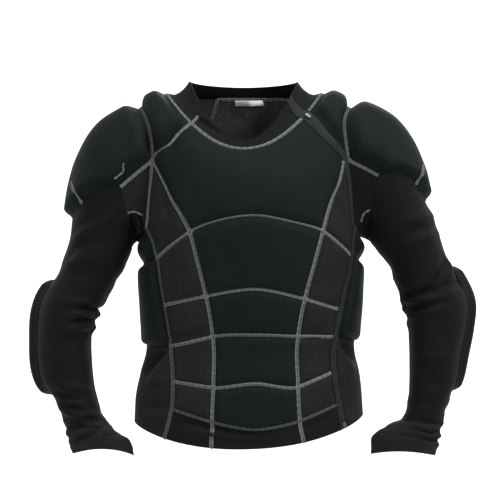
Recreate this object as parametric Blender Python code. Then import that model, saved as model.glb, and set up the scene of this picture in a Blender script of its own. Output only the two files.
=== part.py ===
"""Padded compression shirt, kept in the hollow form it has when worn.

Millimetres are used throughout and turned into metres where a mesh is made. +Z is up, the front
faces -Y and the wearer's left is +X. The origin lies on the wearer's shoulder line, level with
the side of the neck seam. The whole garment is one net of cells: every piece is cut from that
net along its seams, shrunk by half a seam gap, and given an inner and an outer face.
"""

import math

import bmesh
import bpy
import numpy as np

MM = 0.001

# Cloth and seams
CLOTH_INSIDE = 1.4
CLOTH_OUTSIDE = 0.4
SEAM_GAP = 0.3
EDGE_ROUNDING = 14.0
PLACKET_WIDTH = 14.0

# Padding: how far each kind of pad stands proud of the cloth
PROUD = {
    "centre": 6.5, "flank": 5.0, "rib": 11.0, "rib top": 11.0, "shoulder": 12.0, "cap": 18.0,
    "elbow": 15.0, "placket": 1.6, "band": 1.2, "plain": CLOTH_OUTSIDE,
}
# Width of the slope along a pad's edge, where it differs, and the pads whose slope starts gently
ROUNDING = {"cap": 26.0, "shoulder": 20.0, "rib top": 24.0, "elbow": 18.0}
GENTLE = ("cap", "shoulder", "rib top")
# Share of the rise left in the groove of a seam across a pad
GROOVE_DEPTH = 0.45

# Torso sections from hem to neck seam. Columns: height at the side, front and back, half width,
# depth of the front and back, squareness, shift to the wearer's left, extra height on that side
TORSO = {
    "hem":      (-575, -617, -600, 203, 127, 112, 2.20, -4, 6),
    "hip":      (-535, -560, -552, 200, 125, 110, 2.20, -4, 3),
    "belly":    (-495, -505, -503, 194, 120, 106, 2.20, -2, 0),
    "waist":    (-450, -450, -450, 184, 114, 102, 2.20, -1, 0),
    "ribs":     (-390, -385, -390, 187, 118, 108, 2.25, 0, 0),
    "bust":     (-325, -318, -325, 190, 123, 114, 2.25, 0, 0),
    "chest":    (-262, -250, -260, 191, 126, 118, 2.25, 0, 0),
    "armpit":   (-205, -195, -200, 190, 124, 120, 2.20, 0, 0),
    "blade":    (-130, -158, -140, 189, 116, 117, 2.15, 0, 0),
    "cap":      (-68, -134, -85, 189, 106, 107, 2.10, -5, 0),
    "tip":      (-28, -119, -44, 185, 97, 94, 2.05, -11, 0),
    "shoulder": (-9, -110, -18, 166, 90, 84, 2.00, -11, 0),
    "neck":     (0, -104, -3, 138, 84, 77, 2.00, -12, 0),
}
COLLAR = {
    "seam":  (0, -104, -3, 138, 84, 77, 2.00, -12, 0),
    "roll":  (-1, -100, 3, 121, 80, 74, 2.00, -13, 0),
    "stand": (9, -94, 11, 106, 76, 71, 2.00, -13, 0),
    "edge":  (22, -88, 18, 96, 73, 69, 2.00, -13, 0),
}
TORSO_ROWS = list(TORSO.values())
COLLAR_ROWS = list(COLLAR.values())
NECK_LEVEL = len(TORSO_ROWS) - 1

# Upright seams of the front where the rows cross them: (across, height) seen from the front
ROW_NAMES = ("hem", "base arc", "lower arc", "middle arc", "upper arc", "chest arc")
RIGHT_SIDE_SEAM = ((-149, None), (-136, -551), (-134, -504), (-138, -444), (-150, -373), (-163, -292))
RIGHT_PRINCESS = ((-68, None), (-66, -571), (-64, -513), (-65, -426), (-77, -356), (-104, -247))
LEFT_PRINCESS = ((90, None), (83, -570), (80, -513), (80, -426), (92, -361), (123, -246))
LEFT_SIDE_SEAM = ((154, None), (147, -545), (138, -490), (141, -428), (150, -380), (172, -287))
RIGHT_SIDE_TOP = (-171, -262)
RIGHT_PRINCESS_TOP = ((-125, -209), (-148, -166))
LEFT_PRINCESS_TOP = ((132, -213), (141, -187), (153, -157))
# Crowns of the rows between the two princess seams
ROW_CROWNS = {
    "base arc": ((8, -583),),
    "lower arc": ((8, -506),),
    "middle arc": ((8, -423),),
    "upper arc": ((8, -344),),
    "chest arc": ((-53, -227), (8, -219), (66, -229)),
}
# Hidden upright seam behind each rib pad: (turn behind the side plane, height)
RIB_BACK_SEAM = ((27, None), (28, -548), (28, -500), (28, -455), (28, -385), (28, -318))

# Armhole. Columns: angle round the sleeve, from 0 at the top over the front to 180 at the bottom,
# turn from the side plane to the front, height
ARMHOLE = (
    (0, 0, -26), (40, 12, -46), (62, 16.5, -82), (80, 17.5, -120), (105, 16, -165), (127, 15, -205),
    (150, 13, -238), (180, -4, -250), (210, -24, -243), (232, -26, -205), (256, -25, -165),
    (280, -22, -135), (300, -19, -90), (322, -12, -50),
)
APEX, FOOT_FRONT, FOOT_BACK, BACK_APEX = 80, 150, 210, 280

# Yoke and neck places, seen from the front or the back: (across, height)
YOKE_BEND = {-1: (-140, -90), 1: (126, -86)}
YOKE_NECK_ACROSS = {-1: -104, 1: 88}
PLACKET_TOP_ACROSS = 101
BACK_YOKE = {-1: ((-74, -40), (-112, -92)), 1: ((78, -40), (116, -92))}
BACK_YOKE_NECK_ACROSS = {-1: -62, 1: 67}
# The placket's upper edge runs this far across and above the yoke's bend
PLACKET_RISE = (9, 12)

# Sleeve sections from shoulder to cuff. Columns: outer point across and up, inner point across and
# up, half depth, distance behind the side plane, arch of the front and back, pinch of the inner end
SLEEVE = {
    -1: (
        (-223, -39, -210, -268, 62, 6, 0, 0), (-263, -66, -216, -284, 66, 5, 0, 0),
        (-293, -113, -223, -300, 66, 4, 0, 0), (-309, -168, -230, -317, 64, 3, 0, 0),
        (-316, -219, -241, -333, 61, 2, 0, 0), (-322, -260, -251, -352, 58, 0, 0, 0),
        (-333, -296, -260, -370, 56, -3, 0, 0), (-342, -324, -271, -381, 55, -6, 0, 0),
        (-366, -358, -274, -400, 55, -10, 0, 0), (-376, -394, -281, -421, 54, -14, 0, 0),
        (-377, -438, -283, -446, 52, -18, 0, 0), (-375, -480, -281, -480, 50, -23, 0, 0),
        (-366, -511, -277, -515, 46, -28, 0, 0), (-345, -536, -271, -538, 42, -33, 0, 0),
        (-334, -562, -263, -563, 38, -37, 0, 0), (-326, -586, -252, -585, 34, -40, 0, 0),
        (-321, -604, -231, -601, 33, -42, 2, 0.15), (-317, -620, -211, -614, 32, -44, 6, 0.35),
        (-312, -634, -205, -637, 30, -46, 12, 0.6),
    ),
    1: (
        (211, -34, 210, -260, 62, 6, 0, 0), (245, -54, 219, -269, 66, 5, 0, 0),
        (270, -87, 228, -282, 66, 4, 0, 0), (293, -136, 237, -292, 64, 3, 0, 0),
        (309, -189, 245, -306, 61, 2, 0, 0), (326, -226, 253, -323, 58, 0, 0, 0),
        (337, -262, 260, -341, 56, -3, 0, 0), (349, -297, 265, -363, 55, -6, 0, 0),
        (370, -335, 273, -386, 55, -10, 0, 0), (383, -372, 278, -405, 54, -14, 0, 0),
        (379, -416, 280, -434, 52, -18, 0, 0), (370, -460, 281, -467, 50, -23, 0, 0),
        (362, -501, 280, -501, 46, -28, 0, 0), (350, -533, 278, -533, 42, -33, 0, 0),
        (341, -559, 274, -558, 38, -37, 0, 0), (335, -582, 266, -573, 34, -40, 0, 0),
        (331, -598, 237, -587, 33, -42, 0, 0.15), (327, -618, 213, -604, 32, -44, 4, 0.35),
        (322, -637, 210, -635, 30, -46, 8, 0.6),
    ),
}
# How far down the sleeve the cap and the gusset reach, by angle round the sleeve
CAP_REACH = ((0, 5.1), (20, 4.85), (40, 4.3), (60, 3.2), (80, 1.45), (110, 1.3), (180, 1.5),
             (250, 2.0), (280, 3.3), (300, 4.2), (320, 4.7), (340, 5.0), (360, 5.1))
# The seam between cap and gusset turns down by this angle from the armhole, and back by a section
SEAM_TURN = {-1: 12, 1: 7}
TURN_FROM, TURN_END = 2, 5
STRAIGHT_FROM = 8
CUFF_SECTION = 16
LAST_SECTION = 19
ELBOW_SECTIONS = (8, 14)
ELBOW_ANGLES = (260, 380)
ELBOW_CLEARANCE = 0.3

# Cells along the seams
PANEL_STEPS = (0, 0.12, 0.5, 0.88, 1)
BAND_STEPS = (0, 0.5, 1)
RIB_TOP_STEPS = (0, 0.3, 0.7, 1)
PRINCESS_TOP_STEPS = (0, 0.07, 0.2, 0.36, 0.5, 0.64, 0.78, 0.91, 1)
CENTRE_STEPS = (0, 0.04, 0.12, 0.21, 0.3, 0.37, 0.435, 0.5, 0.565, 0.63, 0.7, 0.79, 0.88, 0.96, 1)
NECKLINE_STEPS = tuple(i / 6 for i in range(7))
STRIP_STEPS = (0, 0.5, 1)
SIDE_PULL = 2.5
OVER_STEPS = tuple(i / 8 for i in range(9))
FOOT_STEPS = tuple(i / 4 for i in range(5))
EDGE_STEPS = tuple(i / 5 for i in range(6))
CAP_STEPS = (0, 0.06, 0.25, 0.5, 0.76, 0.9, 1)
BELOW_CAP_STEPS = (0.34, 0.67)
TAIL_ROW, TAIL_FRONT = 4, 400
ROW_STEPS = (BAND_STEPS, PANEL_STEPS, PANEL_STEPS, PANEL_STEPS, PANEL_STEPS)
# Runs of the armhole: first angle, last angle, steps
ARMHOLE_RUNS = {
    "front": (FOOT_FRONT, APEX, EDGE_STEPS),
    "foot": (FOOT_BACK, FOOT_FRONT, FOOT_STEPS),
    "back": (FOOT_BACK, BACK_APEX, EDGE_STEPS),
    "over": (BACK_APEX, 360 + APEX, OVER_STEPS),
}

NECK_LABEL = {"across": (-29, 21), "drop": (1.2, 12.0), "thickness": 0.6, "clearance": 0.5}
SLIDER = {"size": (6.0, 3.0, 11.0), "clearance": 0.3, "bevel": 0.8, "below collar": 1.0}
# Least sharpness of a piece's corner, so that shrinking can't throw it far
CORNER_SPREAD = 0.12

COLOURS = {
    "knit": ((0.016, 0.024, 0.026), 0.62),
    "mesh": ((0.028, 0.026, 0.025), 0.8),
    "label": ((0.8, 0.8, 0.78), 0.7),
    "metal": ((0.35, 0.35, 0.36), 0.35),
}


# Smooth interpolation
def catmull(before, start, end, after, t):
    """Value between start and end on a smooth curve through four values."""
    return 0.5 * (2 * start + (end - before) * t + (2 * before - 5 * start + 4 * end - after) * t * t
                  + (3 * start - before - 3 * end + after) * t ** 3)


def row_at(rows, level):
    """The table's row at a fractional row number."""
    last = len(rows) - 1
    index = min(max(int(level), 0), last - 1)
    t = min(max(level - index, 0.0), 1.0)
    start = rows[index]
    end = rows[index + 1]
    before = rows[index - 1] if index > 0 else [2 * a - b for a, b in zip(start, end)]
    after = rows[index + 2] if index + 2 <= last else [2 * b - a for a, b in zip(start, end)]
    return [catmull(p, q, r, s, t) for p, q, r, s in zip(before, start, end, after)]


def looped_at(table, angle):
    """A closed table's values at an angle; its first column is the angle."""
    count = len(table)
    angle %= 360
    index = max(i for i in range(count) if table[i][0] <= angle)
    following = table[(index + 1) % count][0] or 360
    t = (angle - table[index][0]) / (following - table[index][0])
    picked = [table[(index + k) % count][1:] for k in (-1, 0, 1, 2)]
    return [catmull(p, q, r, s, t) for p, q, r, s in zip(*picked)]


def straight_at(table, angle):
    """Straight-line reading of a two-column table."""
    return float(np.interp(angle % 360, [row[0] for row in table], [row[1] for row in table]))


# Torso and collar surface: a place is (angle, level); angle 0 is the front, 90 the wearer's left
def ring_point(rows, angle, level):
    """Point of a ringed surface, in millimetres."""
    side, front, back, width, front_depth, back_depth, power, shift, lean = row_at(rows, level)
    sine = math.sin(math.radians(angle))
    cosine = math.cos(math.radians(angle))
    depth = front_depth if cosine >= 0 else back_depth
    middle = front if cosine >= 0 else back
    radius = ((abs(sine) / width) ** power + (abs(cosine) / depth) ** power) ** (-1 / power)
    share = (radius * cosine / depth) ** 2
    across = radius * sine
    return (shift + across, -radius * cosine, side + (middle - side) * share + lean * across / width)


def torso_point(place):
    """Point of the torso at a place."""
    return ring_point(TORSO_ROWS, place[0], place[1])


def bisect(low, high, test, rounds=26):
    """Halve the range until test changes from True to False."""
    for _ in range(rounds):
        middle = (low + high) / 2
        if test(middle):
            low = middle
        else:
            high = middle
    return (low + high) / 2


def place_by_angle(angle, height):
    """Place at an angle round the body and a height."""
    level = bisect(0, NECK_LEVEL, lambda lv: ring_point(TORSO_ROWS, angle, lv)[2] < height)
    return (angle, level)


def angle_across(level, across, at_back=False):
    """Angle at which the ring of a level lies at a distance across."""
    if at_back:
        return bisect(90, 270, lambda a: ring_point(TORSO_ROWS, a, level)[0] > across)
    return bisect(-90, 90, lambda a: ring_point(TORSO_ROWS, a, level)[0] < across)


def place_seen(across, height, at_back=False):
    """Place seen at (across, height) from straight ahead, or from straight behind."""
    def too_low(level):
        return ring_point(TORSO_ROWS, angle_across(level, across, at_back), level)[2] < height
    level = 0.0 if height is None else bisect(0, NECK_LEVEL, too_low)
    return (angle_across(level, across, at_back), level)


def sideways(place, distance):
    """Place moved round the body by a distance."""
    here = np.array(torso_point(place))
    there = np.array(torso_point((place[0] + 1, place[1])))
    return (place[0] + distance / np.linalg.norm(there - here), place[1])


def armhole_place(side, angle):
    """Place on the armhole at an angle round the sleeve."""
    turn, height = looped_at(ARMHOLE, angle)
    return place_by_angle(side * (90 - turn), height)


# Seams
def along(knots, steps):
    """Places at shares of the length of a smooth seam through its knots."""
    dense = []
    for index in range(len(knots) - 1):
        for step in range(10):
            dense.append(tuple(row_at(knots, index + step / 10)))
    dense.append(tuple(knots[-1]))
    points = np.array([torso_point(place) for place in dense])
    lengths = np.concatenate(([0], np.cumsum(np.linalg.norm(np.diff(points, axis=0), axis=1))))
    wanted = np.array(steps) * lengths[-1]
    angles = np.interp(wanted, lengths, [p[0] for p in dense])
    levels = np.interp(wanted, lengths, [p[1] for p in dense])
    return list(zip(angles.tolist(), levels.tolist()))


def joined(*runs):
    """Runs of places end to end, each sharing its first place with the one before."""
    places = list(runs[0])
    for run in runs[1:]:
        places.extend(run[1:])
    return places


def upright(crossings, bands, top_run):
    """An upright seam: a run between each pair of crossings, then its top run."""
    runs = []
    for index, steps in enumerate(bands):
        level = [tuple(row_at(crossings, index + step)) for step in (0, 0.25, 0.5, 0.75, 1)]
        runs.append(along(level, steps))
    return joined(*runs, top_run)


def shares(run):
    """Share of the length reached at each place of a run."""
    points = np.array([torso_point(place) for place in run])
    lengths = np.concatenate(([0], np.cumsum(np.linalg.norm(np.diff(points, axis=0), axis=1))))
    return lengths / max(lengths[-1], 1e-9)


def patch(bottom, top, left, right):
    """Grid of places between four runs that meet at their corners."""
    bottom, top, left, right = (np.array(run) for run in (bottom, top, left, right))
    low, high = shares(bottom), shares(top)
    if np.ptp(top, axis=0).max() < 1e-9:
        high = low
    up_left, up_right = shares(left), shares(right)
    grid = []
    for j in range(len(left)):
        row = []
        for i in range(len(bottom)):
            t = (up_left[j] + up_right[j]) / 2
            s = low[i] * (1 - t) + high[i] * t
            t = up_left[j] * (1 - s) + up_right[j] * s
            ruled = (1 - t) * bottom[i] + t * top[i]
            bow_left = left[j] - (1 - t) * left[0] - t * left[-1]
            bow_right = right[j] - (1 - t) * right[0] - t * right[-1]
            row.append(tuple(ruled + bow_left * (1 - s) ** SIDE_PULL + bow_right * s ** SIDE_PULL))
        grid.append(row)
    for j in range(len(left)):
        grid[j][0] = tuple(left[j])
        grid[j][-1] = tuple(right[j])
    grid[0] = [tuple(place) for place in bottom]
    grid[-1] = [tuple(place) for place in top]
    return grid


# The net: welded points, and cells named by the piece they belong to
class Net:
    """Welded points and named cells."""

    def __init__(self):
        self.points = []
        self.numbers = {}
        self.cells = []

    def number(self, point):
        """Number of a point, new or already there."""
        key = tuple(int(round(value * 500)) for value in point)
        for shift in ((0, 0, 0), (1, 0, 0), (-1, 0, 0), (0, 1, 0), (0, -1, 0), (0, 0, 1), (0, 0, -1)):
            near = tuple(a + b for a, b in zip(key, shift))
            if near in self.numbers:
                return self.numbers[near]
        self.numbers[key] = len(self.points)
        self.points.append(point)
        return self.numbers[key]

    def add_grid(self, grid, name_of, flip=False):
        """Add a grid of points; name_of(row, column) names each cell."""
        numbers = [[self.number(point) for point in row] for row in grid]
        for j in range(len(numbers) - 1):
            for i in range(len(numbers[0]) - 1):
                cell = [numbers[j][i], numbers[j][i + 1], numbers[j + 1][i + 1], numbers[j + 1][i]]
                if flip:
                    cell.reverse()
                cell = [n for k, n in enumerate(cell) if n != cell[k - 1]]
                if len(cell) > 2:
                    self.cells.append((name_of(j, i), cell))
        return numbers

    def normals(self):
        """Outward direction at each point of the whole net."""
        points = np.array(self.points)
        total = np.zeros_like(points)
        for _, cell in self.cells:
            corners = points[cell]
            across = np.cross(corners[2] - corners[0], corners[-1] - corners[1])
            total[cell] += across
        return total / np.linalg.norm(total, axis=1)[:, None]


def torso_seams():
    """All seams of the torso as runs of places."""
    seams = {}
    apex = {side: armhole_place(side, APEX) for side in (-1, 1)}
    placket_apex = sideways(apex[1], -PLACKET_WIDTH)
    for side in (-1, 1):
        for run, (start, end, steps) in ARMHOLE_RUNS.items():
            seams["armhole " + run, side] = [armhole_place(side, start + (end - start) * step)
                                             for step in steps]

    right_side = [place_seen(*spot) for spot in RIGHT_SIDE_SEAM]
    seams["side right"] = upright(right_side, ROW_STEPS, along(
        [right_side[-1], place_seen(*RIGHT_SIDE_TOP), armhole_place(-1, FOOT_FRONT)], RIB_TOP_STEPS))
    right_princess = [place_seen(*spot) for spot in RIGHT_PRINCESS]
    seams["princess right"] = upright(right_princess, ROW_STEPS, along(
        [right_princess[-1], *[place_seen(*spot) for spot in RIGHT_PRINCESS_TOP], apex[-1]],
        PRINCESS_TOP_STEPS))
    left_princess = [place_seen(*spot) for spot in LEFT_PRINCESS]
    seams["princess left"] = upright(left_princess, ROW_STEPS, along(
        [left_princess[-1], *[place_seen(*spot) for spot in LEFT_PRINCESS_TOP], placket_apex],
        PRINCESS_TOP_STEPS))
    left_side = [place_seen(*spot) for spot in LEFT_SIDE_SEAM]
    placket_foot = sideways(armhole_place(1, FOOT_FRONT), -PLACKET_WIDTH)
    seams["placket front"] = upright(left_side, ROW_STEPS, along(
        [left_side[-1], placket_foot], RIB_TOP_STEPS))
    placket_side = [sideways(place, PLACKET_WIDTH) for place in left_side]
    seams["placket back"] = upright(placket_side, ROW_STEPS, along(
        [placket_side[-1], armhole_place(1, FOOT_FRONT)], RIB_TOP_STEPS))
    seams["placket edge"] = [sideways(place, -PLACKET_WIDTH) for place in seams["armhole front", 1]]
    for side in (-1, 1):
        turns = [(side * (90 + turn), height) for turn, height in RIB_BACK_SEAM]
        hidden = [place_by_angle(*spot) if spot[1] else (spot[0], 0.0) for spot in turns]
        seams["rib back", side] = upright(hidden, ROW_STEPS, along(
            [hidden[-1], armhole_place(side, FOOT_BACK)], RIB_TOP_STEPS))

    # Yoke seams and the neck
    def neck(across, at_back=False):
        return (angle_across(NECK_LEVEL, across, at_back), float(NECK_LEVEL))

    seams["yoke right"] = along([apex[-1], place_seen(*YOKE_BEND[-1]), neck(YOKE_NECK_ACROSS[-1])],
                                PANEL_STEPS)
    bend = place_seen(*YOKE_BEND[1])
    seams["yoke left"] = along([neck(YOKE_NECK_ACROSS[1]), bend, placket_apex], PANEL_STEPS)
    upper_bend = place_seen(YOKE_BEND[1][0] + PLACKET_RISE[0], YOKE_BEND[1][1] + PLACKET_RISE[1])
    seams["yoke pad left"] = along([neck(PLACKET_TOP_ACROSS), upper_bend, apex[1]], PANEL_STEPS)
    for side in (-1, 1):
        start = armhole_place(side, BACK_APEX)
        start = (start[0] % 360, start[1])
        middle = [place_seen(*spot, at_back=True) for spot in reversed(BACK_YOKE[side])]
        end = neck(BACK_YOKE_NECK_ACROSS[side], at_back=True)
        seams["back yoke", side] = along([start, *middle, end], PANEL_STEPS)
    return seams


def turned(run, degrees):
    """A run with its angles moved by whole turns."""
    return [(angle + degrees, level) for angle, level in run]


def straight(start, end, steps):
    """Places on the straight line between two places."""
    return [tuple(a + (b - a) * step for a, b in zip(start, end)) for step in steps]


ROW_OFFSETS = [sum(len(steps) - 1 for steps in ROW_STEPS[:row]) for row in range(len(ROW_STEPS) + 1)]
RIB_TOP = ROW_OFFSETS[-1] + len(RIB_TOP_STEPS) - 1
FRONT_PANELS = ("hem_band_centre", "belly_panel_base", "belly_panel_lower", "belly_panel_middle",
                "belly_panel_upper")
FLANK_PANELS = ("hem_band_{}", "flank_base_{}", "flank_lower_{}", "flank_middle_{}", "flank_upper_{}")
SIDE_NAMES = {-1: "right", 1: "left"}


def add_torso(net):
    """Add the torso's cells, seam by seam."""
    seams = torso_seams()

    def block(grid, name_of):
        net.add_grid([[torso_point(place) for place in row] for row in grid], name_of)

    uprights = {
        "side right": seams["side right"], "princess right": seams["princess right"],
        "princess left": seams["princess left"], "placket front": seams["placket front"],
        "placket back": seams["placket back"],
    }
    corner = {name: [run[offset] for offset in ROW_OFFSETS] for name, run in uprights.items()}

    def row_run(first, last, row, steps):
        knots = [corner[first][row], corner[last][row]]
        if row > 0 and (first, last) == ("princess right", "princess left"):
            crown = [place_seen(*spot) for spot in ROW_CROWNS[ROW_NAMES[row]]]
            outer = [corner["side right"][row], knots[0], *crown, knots[1], corner["placket front"][row]]
            fine = [row_at(outer, 1 + k / 8) for k in range(8 * (len(crown) + 1) + 1)]
            return along(fine, steps)
        if row == 0:
            return straight(*knots, steps)
        return along(knots, steps)

    columns = (("side right", "princess right", PANEL_STEPS, "right"),
               ("princess right", "princess left", CENTRE_STEPS, None),
               ("princess left", "placket front", PANEL_STEPS, "left"))
    chest_arcs = {}
    for first, last, steps, side in columns:
        rows = [row_run(first, last, row, steps) for row in range(len(ROW_OFFSETS))]
        chest_arcs[first] = rows[-1]
        for band in range(len(ROW_STEPS)):
            low, high = ROW_OFFSETS[band], ROW_OFFSETS[band + 1] + 1
            name = FLANK_PANELS[band].format(side) if side else FRONT_PANELS[band]
            grid = patch(rows[band], rows[band + 1], uprights[first][low:high], uprights[last][low:high])
            block(grid, lambda j, i, name=name: name)

    # Above the chest arc
    start = ROW_OFFSETS[-1]
    neckline = straight(seams["yoke right"][-1], seams["yoke left"][0], NECKLINE_STEPS)
    chest_top = joined(seams["yoke right"], neckline, seams["yoke left"])
    block(patch(chest_arcs["princess right"], chest_top, seams["princess right"][start:],
                seams["princess left"][start:]), lambda j, i: "chest_panel")
    armhole_side = joined(seams["side right"][start:], seams["armhole front", -1])
    apex_right = [armhole_side[-1]] * len(PANEL_STEPS)
    block(patch(chest_arcs["side right"], apex_right, armhole_side, seams["princess right"][start:]),
          lambda j, i: "side_chest_right")
    placket_run = joined(seams["placket front"][start:], seams["placket edge"])
    apex_left = [placket_run[-1]] * len(PANEL_STEPS)
    block(patch(chest_arcs["princess left"], apex_left, seams["princess left"][start:], placket_run),
          lambda j, i: "side_chest_left")

    # Zip placket: up the side, then along the yoke
    front_run = joined(seams["placket front"][:start + 1], placket_run)
    back_run = joined(seams["placket back"], seams["armhole front", 1])
    for j in range(len(front_run) - 1):
        strip = [straight(front_run[j + k], back_run[j + k], STRIP_STEPS) for k in (0, 1)]
        block(strip, lambda j, i: "zip_placket")
    lower, upper = seams["yoke left"], seams["yoke pad left"]
    yoke_grid = list(zip(*(straight(a, b, STRIP_STEPS) for a, b in zip(lower, upper))))
    block(yoke_grid, lambda j, i: "zip_placket")

    # Rib pads and side hems
    for side in (-1, 1):
        name = SIDE_NAMES[side]
        hidden = seams["rib back", side]
        seen = seams["side right"] if side < 0 else seams["placket back"]
        foot = seams["armhole foot", side]
        left, right = (hidden, seen) if side < 0 else (seen, hidden)
        top = foot if side < 0 else foot[::-1]
        spans = ((0, ROW_OFFSETS[3], "side_hem_" + name),
                 (ROW_OFFSETS[3], ROW_OFFSETS[5], "rib_pad_lower_" + name),
                 (ROW_OFFSETS[5], RIB_TOP, "rib_pad_upper_" + name))
        for low, high, piece in spans:
            bottom_run = straight(left[low], right[low], PANEL_STEPS)
            top_run = top if high == RIB_TOP else straight(left[high], right[high], PANEL_STEPS)
            block(patch(bottom_run, top_run, left[low:high + 1], right[low:high + 1]),
                  lambda j, i, piece=piece: piece)

    # Back
    left = seams["rib back", 1]
    right = turned(seams["rib back", -1], 360)
    base = straight(left[0], right[0], CENTRE_STEPS)
    shelf = straight(left[-1], right[-1], CENTRE_STEPS)
    block(patch(base, shelf, left, right), lambda j, i: "back_panel")
    left = seams["armhole back", 1]
    right = turned(seams["armhole back", -1], 360)
    back_neck = straight(seams["back yoke", 1][-1], seams["back yoke", -1][-1], NECKLINE_STEPS)
    top = joined(seams["back yoke", 1], back_neck, seams["back yoke", -1][::-1])
    block(patch(shelf, top, left, right), lambda j, i: "back_panel")

    # Shoulder pads
    over = seams["armhole over", -1]
    back_edge = turned(seams["back yoke", -1], -360)
    neck_right = straight(back_edge[-1], seams["yoke right"][-1], OVER_STEPS)
    block(patch(over, neck_right, back_edge, seams["yoke right"]), lambda j, i: "shoulder_pad_right")
    over = seams["armhole over", 1][::-1]
    front_edge = seams["yoke pad left"][::-1]
    neck_left = straight(front_edge[-1], seams["back yoke", 1][-1], OVER_STEPS)
    block(patch(over, neck_left, front_edge, seams["back yoke", 1]), lambda j, i: "shoulder_pad_left")

    # Collar, from the placket round the back to the placket again
    strip = straight(seams["yoke left"][0], seams["yoke pad left"][0], STRIP_STEPS)
    round_neck = joined(strip, neck_left, back_neck, turned(neck_right, 360), turned(neckline, 360))
    strip_cells = len(STRIP_STEPS) - 1
    grid = [[ring_point(COLLAR_ROWS, angle, float(row)) for angle, _ in round_neck]
            for row in range(len(COLLAR_ROWS))]
    net.add_grid(grid, lambda j, i: "zip_placket" if i < strip_cells else "collar")
    return seams


# Sleeves
def sleeve_ring(side, angle, section):
    """Point of the sleeve on its own sections, which start at 1."""
    row = row_at(SLEEVE[side], section - 1)
    outer_across, outer_height, inner_across, inner_height, half_depth, set_back, arch, pinch = row
    cosine = math.cos(math.radians(angle))
    sine = math.sin(math.radians(angle))
    share = (1 - cosine) / 2
    depth = half_depth * (1 - pinch * share ** 2)
    return np.array((outer_across + (inner_across - outer_across) * share,
                     set_back - depth * sine,
                     outer_height + (inner_height - outer_height) * share + arch * sine ** 2))


def sleeve_point(side, angle, section, armhole):
    """Point of the sleeve at an angle and a fractional section; section 0 is the armhole."""
    near_seam = max(math.cos(math.radians(angle - APEX)), 0.0) ** 2

    def ring(level):
        fade = min(max((TURN_END - level) / (TURN_END - TURN_FROM), 0.0), 1.0)
        return sleeve_ring(side, angle + SEAM_TURN[side] * near_seam * fade, level)

    if section >= 2:
        return tuple(ring(section))
    first, second, third = (ring(k) for k in (1, 2, 3))
    if section < 1:
        return tuple(catmull(2 * armhole - first, armhole, first, second, section))
    return tuple(catmull(armhole, first, second, third, section - 1))


def sleeve_angles():
    """Angles of the sleeve's columns, the same as the armhole's points."""
    runs = {run: [start + (end - start) * step for step in steps]
            for run, (start, end, steps) in ARMHOLE_RUNS.items()}
    return joined(runs["front"][::-1], runs["foot"][::-1], runs["back"], runs["over"])


def sleeve_sections(angle):
    """Section numbers of the sleeve's rows at an angle, bent along the cap's lower edge."""
    reach = straight_at(CAP_REACH, angle)
    rows = [reach * step for step in CAP_STEPS]
    rows += [reach + (STRAIGHT_FROM - reach) * step for step in BELOW_CAP_STEPS]
    rows += list(range(STRAIGHT_FROM, LAST_SECTION + 1))
    return rows


def row_of_section(section):
    """Row of cells that starts at one of the straight sections."""
    return len(CAP_STEPS) + len(BELOW_CAP_STEPS) + section - STRAIGHT_FROM


def add_sleeve(net, side, seams):
    """Add one sleeve's cells; returns its point numbers by row and column."""
    places = joined(seams["armhole front", side][::-1], seams["armhole foot", side][::-1],
                    seams["armhole back", side], seams["armhole over", side])
    armhole = [np.array(torso_point(place)) for place in places]
    angles = sleeve_angles()
    columns = [[sleeve_point(side, angle, section, edge) for section in sleeve_sections(angle)]
               for angle, edge in zip(angles, armhole)]
    for column, edge in zip(columns, armhole):
        column[0] = tuple(edge)
    grid = [list(row) for row in zip(*columns)]
    cap_rows = len(CAP_STEPS) - 1
    cuff_row = row_of_section(CUFF_SECTION)

    def name_of(row, column):
        middle = (angles[column] + angles[column + 1]) / 2
        if row >= cuff_row:
            piece = "cuff"
        elif row < cap_rows and middle < BACK_APEX:
            piece = "underarm_gusset"
        elif row < cap_rows:
            piece = "cap_tail" if row >= TAIL_ROW and middle < TAIL_FRONT else "cap_pad"
        else:
            piece = "sleeve_front" if middle < 180 or middle > 360 else "sleeve_back"
        return piece + "_" + SIDE_NAMES[side]

    return net.add_grid(grid, name_of, flip=side < 0), angles


# Walls
def edges_of(cells):
    """Directed edges that only one cell has."""
    found = {}
    for cell in cells:
        for k, start in enumerate(cell):
            end = cell[(k + 1) % len(cell)]
            if (end, start) in found:
                del found[end, start]
            else:
                found[start, end] = True
    return list(found)


def shrunk(points, normals, edges):
    """Move the edge of a piece inwards by half the seam gap."""
    inward = {}
    for start, end in edges:
        direction = np.cross(normals[start] + normals[end], points[end] - points[start])
        direction /= np.linalg.norm(direction)
        inward.setdefault(start, []).append(direction)
        inward.setdefault(end, []).append(direction)
    moved = {}
    for number, directions in inward.items():
        total = sum(directions)
        spread = max(float(np.dot(total, total)) / len(directions), CORNER_SPREAD)
        moved[number] = points[number] + total * (SEAM_GAP / 2) / spread
    return moved


def edge_distance(point, points, edges):
    """Distance from a point to the edge of its piece."""
    starts = np.array([points[a] for a, _ in edges])
    ends = np.array([points[b] for _, b in edges])
    spans = ends - starts
    shares_along = np.clip(np.einsum("ij,ij->i", point - starts, spans)
                           / np.einsum("ij,ij->i", spans, spans), 0, 1)
    return float(np.linalg.norm(starts + spans * shares_along[:, None] - point, axis=1).min())


def pad_height(distance, kind):
    """Height of a pad at a distance from its edge, with a round or a gentle slope."""
    share = min(distance / ROUNDING.get(kind, EDGE_ROUNDING), 1.0)
    slope = math.sin(share * math.pi / 2) if kind in GENTLE else math.sqrt(1 - (1 - share) ** 2)
    return CLOTH_OUTSIDE + (PROUD[kind] - CLOTH_OUTSIDE) * slope


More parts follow.
